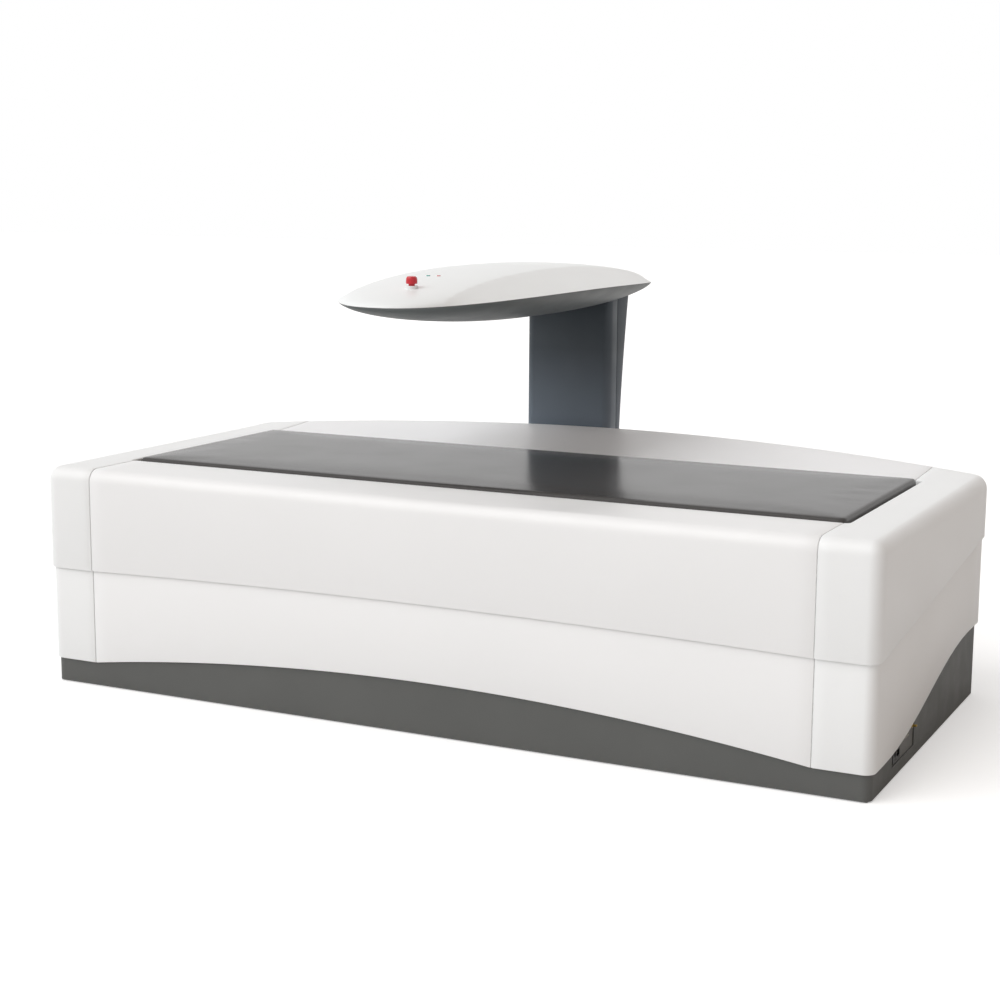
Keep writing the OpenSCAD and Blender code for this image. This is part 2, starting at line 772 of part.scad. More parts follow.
bracket_d = belt_d + pulley_half + 25;
bracket_t = 8;
bracket_rim = 10;
bracket_foot = 50;
motor_d = bracket_d + bracket_t;
module drive_pulley() {
  color([0.75, 0.75, 0.78]) placed() difference() {
    union() {
      pulley_body(-pulley_x);
      rod_y(-pulley_x, belt_d, motor_d + motor_l - 20, pulley_z, shaft_r);
    }
    // A pin hole through the hub shows how far the pulley has turned.
    for (a = [0, 120, 240]) translate([-pulley_x, 0, pulley_z]) rotate([0, a, 0])
      rod_y(pulley_r * 0.6, belt_d - pulley_half - 1, belt_d + pulley_half + 1, 0, 5);
  }
}

module idler_pulley() {
  color([0.75, 0.75, 0.78]) placed() difference() {
    pulley_body(pulley_x);
    rod_y(pulley_x, belt_d - pulley_half - 1, belt_d + pulley_half + 1, pulley_z, shaft_r + run_gap);
    for (a = [0, 120, 240]) translate([pulley_x, 0, pulley_z]) rotate([0, a, 0])
      rod_y(pulley_r * 0.6, belt_d - pulley_half - 1, belt_d + pulley_half + 1, 0, 5);
  }
}

module idler_axle() {
  color([0.6, 0.6, 0.62]) placed()
    rod_y(pulley_x, belt_d - pulley_half - 4, bracket_d + bracket_t, pulley_z, shaft_r);
}

module drive_motor() {
  color([0.18, 0.18, 0.2]) placed() difference() {
    block([-pulley_x - motor_w / 2, motor_d, pulley_z - motor_w / 2],
      [-pulley_x + motor_w / 2, motor_d + motor_l, pulley_z + motor_w / 2]);
    rod_y(-pulley_x, motor_d - 1, motor_d + motor_l - 15, pulley_z, shaft_r + run_gap);
  }
}

module drive_bracket(hole_r) {
  inner = frame_x - tube_w;
  difference() {
    union() {
      block([pulley_x - pulley_r - bracket_rim, bracket_d, carrier_top - carrier_h],
        [inner, motor_d, pulley_z + motor_w / 2]);
      block([inner - bracket_t, bracket_d, carrier_top - carrier_h],
        [inner, bracket_d + bracket_foot, carrier_top]);
    }
    rod_y(pulley_x, bracket_d - 1, motor_d + 1, pulley_z, hole_r);
  }
}

module drive_brackets() {
  color([0.5, 0.52, 0.55]) placed() {
    mirror_left() drive_bracket(shaft_r + 6);
    drive_bracket(shaft_r);
  }
}

inlet_panel_x = plinth_x - plinth_t;
inlet_panel_t = 2;
socket_w = 17;
socket_h = 15;
socket_pitch = 21;
module inlet_panel() {
  color([0.42, 0.42, 0.42]) placed() difference() {
    block([inlet_panel_x - inlet_panel_t, window_front - window_lap, frame_z],
      [inlet_panel_x, window_rear + window_lap, window_high + window_lap]);
    inlet_cut(inlet_panel_x - 10, inlet_panel_x + 1, pass_gap / 4);
    for (s = [-0.5, 0.5]) block([inlet_panel_x - 10, socket_d + s * socket_pitch - socket_w / 2,
      socket_z - socket_h / 2], [inlet_panel_x + 1, socket_d + s * socket_pitch + socket_w / 2,
      socket_z + socket_h / 2]);
    rod_x(inlet_panel_x - 10, inlet_panel_x + 1, earth_d, earth_z, earth_r);
  }
}

module inlet_cut(a, b, gap) {
  block([a, inlet_d - inlet_w / 2 - gap, inlet_z - inlet_h / 2 - gap],
    [b, inlet_d + inlet_w / 2 + gap, inlet_z + inlet_h / 2 + gap]);
}

inlet_deep = 30;
inlet_face = inlet_panel_x + 2.5;
// The inlet's half for the lead is at the rear, and the switch's half is at the front.
lead_d = inlet_d + 14;
switch_d = inlet_d - 15;
module mains_inlet() {
  color([0.06, 0.06, 0.06]) placed() difference() {
    union() {
      inlet_cut(inlet_panel_x - inlet_deep, inlet_face, 0);
      block([inlet_panel_x, inlet_d - inlet_w / 2 - 3, inlet_z - inlet_h / 2 - 3],
        [inlet_face, inlet_d + inlet_w / 2 + 3, inlet_z + inlet_h / 2 + 3]);
    }
    block([inlet_face - 18, lead_d - 12, inlet_z - 8], [inlet_face + 1, lead_d + 12, inlet_z + 8]);
    block([inlet_face - 16, switch_d - rocker_w / 2 - slide_gap, inlet_z - rocker_h / 2 - slide_gap],
      [inlet_face + 1, switch_d + rocker_w / 2 + slide_gap, inlet_z + rocker_h / 2 + slide_gap]);
    rod_y(rocker_x, switch_d - rocker_w / 2 - 3, switch_d + rocker_w / 2 + 3, inlet_z, 1.5 + run_gap);
  }
}

module inlet_pins() {
  color([0.8, 0.78, 0.7]) placed() for (p = [[-7, -2], [0, 3], [7, -2]])
    block([inlet_face - 18, lead_d + p.x - 1, inlet_z + p.y - 2],
      [inlet_face - 3, lead_d + p.x + 1, inlet_z + p.y + 2]);
}

rocker_w = 14;
rocker_h = 21;
rocker_x = inlet_face - 6;
rocker_tilt = 7;
// A rocker that leans one way at rest and turns on two stub pivots.
module power_switch() {
  color([0.12, 0.12, 0.12]) placed() translate([rocker_x, switch_d, inlet_z]) {
    rotate([90, 0, 0]) translate([0, 0, -rocker_w / 2]) linear_extrude(rocker_w)
      rotate([0, 0, rocker_tilt]) polygon([[-3, -rocker_h / 2 + 2], [5, -rocker_h / 2 + 1],
        [3.5, 0], [5, rocker_h / 2 - 1], [-3, rocker_h / 2 - 2]]);
    rod_y(0, -rocker_w / 2 - 2.5, rocker_w / 2 + 2.5, 0, 1.5);
  }
}

module network_sockets() {
  color([0.7, 0.7, 0.68]) placed() for (s = [-0.5, 0.5])
    translate([0, socket_d + s * socket_pitch, socket_z]) difference() {
      block([inlet_panel_x - 20, -socket_w / 2, -socket_h / 2],
        [inlet_panel_x + 1.5, socket_w / 2, socket_h / 2]);
      block([inlet_panel_x - 12, -5.8, -4.5], [inlet_panel_x + 2, 5.8, 4]);
    }
}

earth_l = 14;
module earth_terminal() {
  color([0.72, 0.6, 0.25]) placed() {
    rod_x(inlet_panel_x - 12, inlet_panel_x + earth_l, earth_d, earth_z, earth_r);
    translate([inlet_panel_x, earth_d, earth_z]) rotate([0, 90, 0])
      cylinder(r = earth_r * 2, h = 4, $fn = 6);
  }
}

// Beam that leaves the table through the slot and carries the column.
module arm_beam() {
  color([0.34, 0.36, 0.38]) on_arm() {
    block([-beam_w / 2, pedestal_d, plate_top], [beam_w / 2, carriage_rear, beam_z + beam_h]);
    block([-beam_w / 2, pedestal_d, beam_z],
      [beam_w / 2, column_mid + post_d / 2, beam_z + beam_h]);
  }
}

module column_frame() {
  low = beam_z + beam_h;
  color([0.4, 0.42, 0.45]) on_arm() difference() {
    block([-post_w / 2, column_mid - post_d / 2, low],
      [post_w / 2, column_mid + post_d / 2, det_rail_z]);
    block([post_wall - post_w / 2, column_mid - post_d / 2 + post_wall, low - 1],
      [post_w / 2 - post_wall, column_mid + post_d / 2 - post_wall, det_rail_z + 1]);
  }
}

// Plan of the column's front half, or of its inside when grown by a negative wall.
module column_plan(wall) {
  r = column_fr - wall;
  x = column_w / 2 - wall;
  d = column_front + wall;
  translate([-x, d + r]) square([2 * x, column_mid - d - r]);
  translate([r - x, d]) square([2 * (x - r), column_mid - d]);
  for (s = [-1, 1]) translate([s * (x - r), d + r]) circle(r = r);
}

module column_front_cover() {
  color([0.26, 0.29, 0.32]) on_arm() difference() {
    translate([0, 0, column_z]) linear_extrude(column_top - column_z) difference() {
      column_plan(0);
      column_plan(shell_t);
      translate([-column_w, column_mid - cover_gap / 2]) square([2 * column_w, column_d]);
    }
    block([-beam_w / 2 - pass_gap, column_front - 1, beam_z - pass_gap],
      [beam_w / 2 + pass_gap, column_front + 2 * shell_t, beam_z + beam_h + pass_gap]);
  }
}

// Depth of the column's rear face at a height: it leaves the foot upright and flares to the top.
function column_back(z) = column_front + column_d
  + column_flare * pow((z - column_z) / (column_top - column_z), 1.8);
// Half of the rear cover's plan at one height, out by the wall or in by it.
rear_turns = 8;
function column_half(z, wall) = let (r = column_rr - wall, x = column_w / 2 - wall,
  d = column_back(z) - wall) concat(
  [[x, column_mid + cover_gap / 2, z]],
  [for (i = [0:rear_turns]) let (a = 90 * i / rear_turns)
    [x - r + r * cos(a), d - r + r * sin(a), z]]
);
function column_line(z, wall) = let (half = column_half(z, wall)) concat(
  half, [for (i = [len(half) - 1:-1:0]) [-half[i].x, half[i].y, z]]);

column_steps = 12;
module column_rear_cover() {
  levels = [for (i = [column_steps:-1:0]) column_z + (column_top - column_z) * i / column_steps];
  color([0.26, 0.29, 0.32]) on_arm() swept_wall(
    [for (z = levels) column_line(z, 0)], [for (z = levels) column_line(z, shell_t)]
  );
}

// Head covers: two shallow rounded shells whose flat rims meet.
head_turns = 72;
head_rings = 9;
dome_power = 0.5;
bowl_power = 2.1;
bowl_round = 0.7;
// Share of the head's radius that a place lies at: 0 in the middle and 1 at the rim.
function share_at(x, d, a, b) =
  min(1, pow(pow(abs(x) / a, head_square) + pow(abs(d - head_d) / b, head_square), 1 / head_square));
function rim_at(d) = rim_z - rim_droop * pow((d - head_d) / head_b, 2);
// Half of the head's width at a depth.
function half_width(d, a, b) =
  a * pow(max(0, 1 - pow(abs(d - head_d) / b, head_square)), 1 / head_square);
// The dome is round between the shoulder lines, and its flanks run straight from them to the rim.
function dome_at(x, d, a, b, h) =
  let (inner = min(abs(x), head_shoulder), edge = half_width(d, a, b),
    crest = h * pow(1 - pow(share_at(inner, d, a, b), 2), dome_power))
  rim_at(d) + (abs(x) > head_shoulder ? crest * max(0, edge - abs(x)) / (edge - head_shoulder) : crest);
function bowl_at(x, d, a, b, h) =
  rim_at(d) - h * pow(1 - pow(share_at(x, d, a, b), bowl_power), bowl_round);
// Share of the head's radius at each ring: the rings crowd towards the rim.
function ring_share(i) = sin(90 - 90 * i / head_rings);
// A cosine or sine bent towards the squarer plan.
function squared(v) = sign(v) * pow(abs(v), 2 / head_square);
function head_ring(i, a, b, h, up) = [for (j = [0:head_turns - 1])
  let (t = 360 * j / head_turns, f = ring_share(i),
    x = a * f * squared(cos(t)), d = head_d + b * f * squared(sin(t)))
  [x, d, i == 0 ? rim_at(d) : up ? dome_at(x, d, a, b, h) : bowl_at(x, d, a, b, h)]];

// One closed shell between an outer and an inner surface, each ending in its middle point.
module head_shell(h, up) {
  a = head_a;
  b = head_b;
  n = head_turns;
  ai = head_a - head_rim;
  bi = head_b - head_rim;
  hi = h - head_t;
  side = up ? 1 : -1;
  half = head_rings * n + 1;
  points = concat(
    [for (i = [0:head_rings - 1]) each head_ring(i, a, b, h, up)], [[0, head_d, rim_z + side * h]],
    [for (i = [0:head_rings - 1]) each head_ring(i, ai, bi, hi, up)], [[0, head_d, rim_z + side * hi]]
  );
  bands = [for (i = [0:head_rings - 2], j = [0:n - 1]) let (k = (j + 1) % n, p = i * n, q = p + n)
    each concat(patch(p + j, q + j, q + k, p + k),
      patch(half + p + k, half + q + k, half + q + j, half + p + j))];
  tips = [for (j = [0:n - 1]) let (k = (j + 1) % n, p = (head_rings - 1) * n)
    each [[p + j, half - 1, p + k], [half + p + k, 2 * half - 1, half + p + j]]];
  rim = [for (j = [0:n - 1]) let (k = (j + 1) % n) each patch(j, k, half + k, half + j)];
  faces = concat(bands, tips, rim);
  polyhedron(points = points, faces = up ? faces : [for (f = faces) [f[2], f[1], f[0]]]);
}

boss_x = 75;
boss_in = 250;
boss_back = 50;
boss_rows = [head_front + boss_in, column_front - boss_back];
boss_r = 7;
head_screw_r = 2.5;
laser_r = 8;
function bowl_mid(x, d) = bowl_at(x, d, head_a, head_b, bowl_h) + head_t / 2;

module head_lower_cover() {
  color([0.38, 0.39, 0.4]) on_arm() difference() {
    union() {
      head_shell(bowl_h, false);
      for (x = [-boss_x, boss_x], d = boss_rows) {
        z = bowl_mid(x, d);
        translate([x, d, z]) cylinder(r = boss_r, h = det_rail_z - z);
      }
    }
    for (x = [-boss_x, boss_x], d = boss_rows) {
      translate([x, d, rim_z - 2 * bowl_h]) cylinder(r = head_screw_r + slide_gap, h = 3 * bowl_h);
      translate([x, d, rim_z - 2 * bowl_h])
        cylinder(r = boss_r - 2, h = bowl_mid(x, d) + head_t - rim_z + 2 * bowl_h);
    }
    translate([0, scan_d, rim_z - 2 * bowl_h]) cylinder(r = laser_r, h = 2 * bowl_h);
    linear_extrude(rim_z + bowl_h) column_cut();
  }
}

// Plan of the whole column at its top, grown by the clearance around it.
module column_cut() {
  g = pass_gap;
  x = column_w / 2 + g;
  near = column_front - g;
  far = column_back(column_top) + g;
  translate([column_fr - x, near]) square([2 * (x - column_fr), far - near - column_rr]);
  translate([-x, near + column_fr]) square([2 * x, far - near - column_fr - column_rr]);
  translate([column_rr - x, near + column_fr]) square([2 * (x - column_rr), far - near - column_fr]);
  for (s = [-1, 1]) {
    translate([s * (x - column_fr), near + column_fr]) circle(r = column_fr);
    translate([s * (x - column_rr), far - column_rr]) circle(r = column_rr);
  }
}

lamp_in = 184;
lamp_step = 4;
lamp_places = [[-26, button_d + lamp_in], [3, button_d + lamp_in + lamp_step]];
module head_upper_cover() {
  color([0.96, 0.97, 0.97]) on_arm() difference() {
    head_shell(dome_h, true);
    translate([button_x, button_d, rim_z - rim_droop])
      cylinder(r = collar_r + slide_gap, h = 2 * dome_h);
    for (p = lamp_places) translate([p.x, p.y, rim_z])
      cylinder(r = lamp_r + slide_gap, h = 2 * dome_h);
  }
}

module head_screws() {
  color([0.2, 0.2, 0.2]) on_arm() for (x = [-boss_x, boss_x], d = boss_rows) {
    z = bowl_mid(x, d) + head_t;
    translate([x, d, z - 3]) cylinder(r = boss_r - 2.5, h = 3);
    translate([x, d, z]) cylinder(r = head_screw_r, h = det_rail_z - z);
  }
}

module laser_lens() {
  z = bowl_at(0, scan_d, head_a, head_b, bowl_h);
  color([0.5, 0.05, 0.05]) on_arm() {
    translate([0, scan_d, z + 1]) cylinder(r = laser_r - 0.2, h = head_t + 4);
    translate([0, scan_d, z + head_t + 2]) cylinder(r = laser_r + 3, h = 3);
  }
}

module head_beam() {
  color([0.72, 0.73, 0.75]) on_arm()
    block([-head_beam_w / 2, det_rail_front - 7, det_rail_z],
      [head_beam_w / 2, column_mid + post_d / 2, det_rail_z + head_beam_t]);
}

// Button, collar and lamps on the dome.
collar_rise = 6.5;
collar_top = dome_at(button_x, button_d, head_a, head_b, dome_h) + collar_rise;
collar_h = 22;
module stop_button_collar() {
  color([0.85, 0.86, 0.86]) on_arm() translate([button_x, button_d, collar_top - collar_h]) difference() {
    cylinder(r = collar_r, h = collar_h);
    translate([0, 0, -1]) cylinder(r = stem_r + run_gap, h = collar_h + 2);
  }
}

button_h = 19;
button_gap = button_travel + 1;
module stop_button() {
  color([0.8, 0.1, 0.12]) on_arm() translate([button_x, button_d, collar_top + button_gap]) {
    rotate_extrude() polygon(concat(
      [[0, 0], [button_r - 1, 0], [button_r, 1], [button_r, button_h * 0.5]],
      [for (a = [15:15:90]) [button_r * cos(a * 0.55) * cos(a * 0.3), button_h * (0.5 + 0.5 * sin(a))]],
      [[0, button_h]]));
    translate([0, 0, -collar_h]) cylinder(r = stem_r, h = collar_h + 1);
  }
}

module lamp(p) {
  z = dome_at(p.x, p.y, head_a, head_b, dome_h);
  on_arm() translate([p.x, p.y, z - 8]) cylinder(r = lamp_r, h = 10);
}

module ready_lamp() {
  color([0.3, 0.7, 0.65]) lamp(lamp_places[0]);
}

module xray_lamp() {
  color([0.9, 0.55, 0.5]) lamp(lamp_places[1]);
}

// Source below the table: rails, carriage, tube housing, collimator, shutter and drive.
module tube_rails() {
  color([0.75, 0.76, 0.78]) on_arm() for (x = [-tube_rail_x, tube_rail_x])
    translate([x, tube_rail_rear, plate_top]) rotate([90, 0, 0])
      linear_extrude(tube_rail_rear - tube_rail_front) rail_outline(tube_rail_w, tube_rail_h);
}

tube_wheel_x = tube_rail_x - tube_rail_w / 2 - belt_gap - tube_wheel_r;
tube_wheel_d = scan_d + tube_reach_rear - 25;
wheel_shaft_r = 4;
module tube_carriage() {
  color([0.65, 0.67, 0.7]) on_arm() difference() {
    union() {
      block([-tube_rail_x - 20, scan_d - tube_reach_front, tube_plate_z],
        [tube_rail_x + 20, scan_d + tube_reach_rear, tube_plate_z + tube_plate_t]);
      for (x = [-tube_rail_x, tube_rail_x], d = [-75, 50]) translate([x, scan_d + d, 0])
        rail_block(34, 45, tube_rail_w, plate_top + 2, plate_top + tube_rail_h, tube_plate_z);
    }
    translate([tube_wheel_x, tube_wheel_d, tube_plate_z - 1])
      cylinder(r = wheel_shaft_r + slide_gap, h = tube_plate_t + 2);
  }
}

housing_low = tube_plate_z + tube_plate_t;
housing_top = housing_low + housing_h;
module xray_tube_housing() {
  color([0.5, 0.52, 0.5]) on_arm() union() {
    block([-housing_l / 2, scan_d - housing_w / 2, housing_low],
      [housing_l / 2, scan_d + housing_w / 2, housing_top]);
    rod_x(-housing_l / 2 - tube_end, housing_l / 2 + tube_end, scan_d, housing_low + housing_h / 2,
      housing_w / 3);
  }
}

tube_end = 15;
collimator_h = 30;
shutter_z = housing_top + 12;
shutter_t = 3;
shutter_end = 16;
shutter_w = 24;
module collimator() {
  color([0.6, 0.6, 0.62]) on_arm() difference() {
    translate([0, scan_d, housing_top]) cylinder(r = 36, h = collimator_h);
    translate([0, scan_d, housing_top - 1]) cylinder(r = beam_hole_r, h = collimator_h + 2);
    block([-60, scan_d - shutter_w / 2 - slide_gap, shutter_z - slide_gap],
      [shutter_end + slide_gap, scan_d + shutter_w / 2 + slide_gap, shutter_z + shutter_t + slide_gap]);
  }
}

module shutter_blade() {
  color([0.45, 0.45, 0.5]) on_arm()
    block([-50, scan_d - shutter_w / 2, shutter_z],
      [shutter_end, scan_d + shutter_w / 2, shutter_z + shutter_t]);
}

// A motor whose shaft points along Z, with its bore.
module cross_motor(x, d, low, high, r, bore, bore_low, bore_high) {
  difference() {
    translate([x, d, low]) cylinder(r = r, h = high - low);
    translate([x, d, bore_low]) cylinder(r = bore + run_gap, h = bore_high - bore_low);
  }
}

module tube_motor() {
  color([0.18, 0.18, 0.2]) on_arm()
    cross_motor(tube_wheel_x, tube_wheel_d, housing_low, housing_low + 60, 22, wheel_shaft_r,
      housing_low - 1, housing_low + 40);
}

module tube_drive_wheel() {
  color([0.15, 0.15, 0.15]) on_arm() translate([tube_wheel_x, tube_wheel_d, 0]) {
    translate([0, 0, plate_top + 3]) cylinder(r = tube_wheel_r, h = tube_rail_h - 2);
    translate([0, 0, plate_top + 3]) cylinder(r = wheel_shaft_r, h = housing_low + 35 - plate_top - 3);
  }
}

// Detector inside the head, hung from the head's beam.
module detector_rails() {
  color([0.75, 0.76, 0.78]) on_arm() for (x = [-det_rail_x, det_rail_x])
    translate([x, det_rail_front, det_rail_z]) rotate([-90, 0, 0])
      linear_extrude(det_rail_rear - det_rail_front) rail_outline(det_rail_w, det_rail_h);
}

det_wheel_x = det_rail_x - det_rail_w / 2 - belt_gap - det_wheel_r;
det_wheel_d = scan_d + det_reach_rear - 20;
det_shaft_r = 2.5;
det_plate_top = det_plate_z + det_plate_t;
module detector_carriage() {
  color([0.65, 0.67, 0.7]) on_arm() difference() {
    union() {
      block([-det_rail_x - 12, scan_d - det_reach_front, det_plate_z],
        [det_rail_x + 12, scan_d + det_reach_rear, det_plate_top]);
      for (x = [-det_rail_x, det_rail_x], d = [-28, 20]) translate([x, scan_d + d, 0])
        difference() {
          block([-8, -15, det_plate_top], [8, 15, det_rail_z - 2]);
          block([-det_rail_w / 2 - slide_gap, -16, det_rail_z - det_rail_h - slide_gap],
            [det_rail_w / 2 + slide_gap, 16, det_rail_z]);
        }
    }
    translate([det_wheel_x, det_wheel_d, det_plate_z - 1])
      cylinder(r = det_shaft_r + slide_gap, h = det_plate_t + 2);
  }
}

det_low = det_plate_z - 22;
module detector_module() {
  color([0.2, 0.22, 0.3]) on_arm() difference() {
    block([-45, scan_d - 35, det_low], [45, scan_d + 35, det_plate_z]);
    block([-30, scan_d - 4, det_low - 1], [30, scan_d + 4, det_low + 6]);
  }
}

module detector_motor() {
  color([0.18, 0.18, 0.2]) on_arm()
    cross_motor(det_wheel_x, det_wheel_d, det_low, det_plate_z, 14, det_shaft_r,
      det_low + 6, det_plate_z + 1);
}

module detector_drive_wheel() {
  color([0.15, 0.15, 0.15]) on_arm() translate([det_wheel_x, det_wheel_d, 0]) {
    translate([0, 0, det_rail_z - det_rail_h + 1]) cylinder(r = det_wheel_r, h = det_rail_h - 3);
    translate([0, 0, det_low + 8])
      cylinder(r = det_shaft_r, h = det_rail_z - det_rail_h - 5 - det_low);
  }
}

plinth();
chassis_frame();
base_tray();
levelling_feet();
foot_lock_nuts();
tabletop_panel();
mattress_pad();
upper_front_cover();
upper_left_end_cover();
upper_right_end_cover();
upper_rear_cover();
lower_front_panel();
lower_left_end_panel();
lower_right_end_panel();
lower_rear_panel();
panel_brackets();
slot_brushes();
long_rails();
drive_motor();
drive_brackets();
drive_belt();
drive_pulley();
idler_pulley();
idler_axle();
power_supply();
control_box();
inlet_panel();
mains_inlet();
inlet_pins();
power_switch();
network_sockets();
earth_terminal();
carriage_plate();
bearing_blocks();
belt_clamp();
arm_beam();
column_frame();
column_front_cover();
column_rear_cover();
head_beam();
head_lower_cover();
head_upper_cover();
head_screws();
tube_rails();
tube_carriage();
xray_tube_housing();
collimator();
shutter_blade();
tube_motor();
tube_drive_wheel();
detector_rails();
detector_carriage();
detector_module();
detector_motor();
detector_drive_wheel();
stop_button_collar();
stop_button();
ready_lamp();
xray_lamp();
laser_lens();
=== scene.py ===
import json
import math
import bpy
from mathutils import Matrix, Vector


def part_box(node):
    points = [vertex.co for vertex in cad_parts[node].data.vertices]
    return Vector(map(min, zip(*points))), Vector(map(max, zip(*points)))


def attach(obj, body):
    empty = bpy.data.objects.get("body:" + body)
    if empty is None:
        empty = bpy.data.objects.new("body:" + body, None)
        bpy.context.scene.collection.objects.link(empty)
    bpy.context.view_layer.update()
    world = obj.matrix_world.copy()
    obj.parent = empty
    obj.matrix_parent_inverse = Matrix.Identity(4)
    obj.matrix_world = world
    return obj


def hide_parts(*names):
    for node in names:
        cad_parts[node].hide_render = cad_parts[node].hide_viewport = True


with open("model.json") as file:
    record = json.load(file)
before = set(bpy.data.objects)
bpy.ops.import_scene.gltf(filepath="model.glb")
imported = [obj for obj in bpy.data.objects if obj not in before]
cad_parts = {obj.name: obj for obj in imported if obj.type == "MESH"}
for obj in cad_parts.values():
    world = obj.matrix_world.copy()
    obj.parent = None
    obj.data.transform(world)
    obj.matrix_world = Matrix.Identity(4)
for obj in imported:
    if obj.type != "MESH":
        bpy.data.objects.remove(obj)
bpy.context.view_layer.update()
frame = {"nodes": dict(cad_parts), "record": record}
nodes = frame["nodes"]

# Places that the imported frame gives, in metres.
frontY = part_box("upper_front_cover")[0].y
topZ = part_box("upper_front_cover")[1].z
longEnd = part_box("upper_front_cover")[1].x       # where the long covers stop, short of the seam
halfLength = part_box("upper_right_end_cover")[1].x
padLow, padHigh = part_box("mattress_pad")
near = 0.0004                                    # how close a point counts as being on a line

cameraView = {
    "inFront": 3.937,    # from the table's front face
    "sideways": 2.158,
    "height": 1.371,
    "azimuth": 26.204,
    "down": 9.784,
    "roll": 0.369,
    "lens": 67.49,
}


def setCamera(view):
    azimuth, down, roll = (math.radians(view[key]) for key in ("azimuth", "down", "roll"))
    flat = math.cos(down)
    look = Vector((-math.sin(azimuth) * flat, math.cos(azimuth) * flat, -math.sin(down)))
    level = Vector((math.cos(azimuth), math.sin(azimuth), 0))
    right = level * math.cos(roll) + level.cross(look) * math.sin(roll)
    up = right.cross(look)
    data = bpy.data.cameras.new("studioCamera")
    data.lens = view["lens"]
    data.sensor_width = 36
    camera = bpy.data.objects.new("studioCamera", data)
    bpy.context.scene.collection.objects.link(camera)
    camera.location = (view["sideways"], frontY - view["inFront"], view["height"])
    camera.rotation_mode = "QUATERNION"
    camera.rotation_quaternion = Matrix((right, up, -look)).transposed().to_quaternion()
    bpy.context.scene.camera = camera


setCamera(cameraView)
print("camera set")


# Small tools for modelling by hand.

def clearSelection():
    if bpy.context.object and bpy.context.object.mode != "OBJECT":
        bpy.ops.object.mode_set(mode="OBJECT")
    bpy.ops.object.select_all(action="DESELECT")


def nameNew(name):
    piece = bpy.context.object
    piece.name = name
    piece.data.name = name
    bpy.ops.object.transform_apply(location=True, rotation=True, scale=True)
    return piece


def addCube(name, low, high):
    clearSelection()
    low, high = Vector(low), Vector(high)
    bpy.ops.mesh.primitive_cube_add(size=1, location=(low + high) / 2, scale=high - low)
    return nameNew(name)


# Opens a piece for editing with only the points, edges or faces chosen that pass the test.
def pick(piece, kind, test):
    bpy.context.view_layer.objects.active = piece
    bpy.ops.object.mode_set(mode="EDIT")
    bpy.ops.mesh.select_mode(type=kind)
    bpy.ops.mesh.select_all(action="DESELECT")
    bpy.ops.object.mode_set(mode="OBJECT")
    mesh = piece.data
    if kind == "VERT":
        for point in mesh.vertices:
            point.select = test(point.co)
    elif kind == "EDGE":
        for edge in mesh.edges:
            a, b = (mesh.vertices[i].co for i in edge.vertices)
            edge.select = test(a, b)
    else:
        for face in mesh.polygons:
            face.select = test(face.center, face.normal)
    bpy.ops.object.mode_set(mode="EDIT")


def closeEdit():
    bpy.ops.object.mode_set(mode="OBJECT")


def chosenPoints(piece):
    closeEdit()
    return [point for point in piece.data.vertices if point.select]


def drawOut(move, steps=1):
    part = tuple(length / steps for length in move)
    for _ in range(steps):
        bpy.ops.mesh.extrude_edges_move(TRANSFORM_OT_translate={"value": part})


def sweepRound(angle, centre, steps):
    bpy.ops.mesh.spin(steps=steps, angle=-angle, center=(centre[0], centre[1], 0), axis=(0, 0, 1))


# Points the faces of an open or closed piece away from its middle.
def faceOut(piece, middle):
    pick(piece, "FACE", lambda centre, normal: True)
    bpy.ops.mesh.remove_doubles(threshold=0.00001)
    bpy.ops.mesh.normals_make_consistent(inside=False)
    closeEdit()
    outward = sum(face.area * face.normal.dot(face.center - Vector(middle)) for face in piece.data.polygons)
    if outward < 0:
        pick(piece, "FACE", lambda centre, normal: True)
        bpy.ops.mesh.flip_normals()
        closeEdit()


def applyModifier(piece, kind, **settings):
    bpy.context.view_layer.objects.active = piece
    modifier = piece.modifiers.new(kind.title(), kind)
    for key, value in settings.items():
        setattr(modifier, key, value)
    bpy.ops.object.modifier_apply(modifier=modifier.name)


def thicken(piece, wall):
    applyModifier(piece, "SOLIDIFY", thickness=wall, offset=-1, use_even_offset=True)


def softenEdges(piece, width, segments=2, angle=35):
    applyModifier(piece, "BEVEL", width=width, segments=segments, limit_method="ANGLE",
                  angle_limit=math.radians(angle), use_clamp_overlap=True)


def smooth(piece, angle=35):
    bpy.ops.object.select_all(action="DESELECT")
    piece.select_set(True)
    bpy.context.view_layer.objects.active = piece
    bpy.ops.object.shade_smooth_by_angle(angle=math.radians(angle))


def place(piece, body, slot, finish, *stoodFor):
    piece.data.materials.clear()
    piece.data.materials.append(finish)
    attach(piece, body)
    if stoodFor:
        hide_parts(*stoodFor)


# Finishes. A colour is given as it looks on a screen and turned to linear here.

def linear(colour):
    shares = (value / 255 for value in colour)
    return tuple(c / 12.92 if c <= 0.04045 else ((c + 0.055) / 1.055) ** 2.4 for c in shares)


def darkened(colour, shade):
    return tuple(c * shade for c in colour)


def startFinish(name, roughness, metallic=0.0, **sockets):
    finish = bpy.data.materials.new(name)
    finish.use_nodes = True
    shader = finish.node_tree.nodes["Principled BSDF"]
    shader.inputs["Roughness"].default_value = roughness
    shader.inputs["Metallic"].default_value = metallic
    for key, value in sockets.items():
        shader.inputs[key].default_value = value
    return finish, finish.node_tree, shader


def addNode(tree, kind, **settings):
    node = tree.nodes.new(kind)
    for key, value in settings.items():
        if key in node.inputs:
            node.inputs[key].default_value = value
        else:
            setattr(node, key, value)
    return node


def objectPlace(tree, stretch=(1, 1, 1)):
    coordinates = addNode(tree, "ShaderNodeTexCoord")
    mapping = addNode(tree, "ShaderNodeMapping", Scale=stretch)
    tree.links.new(coordinates.outputs["Object"], mapping.inputs["Vector"])
    return mapping.outputs["Vector"]


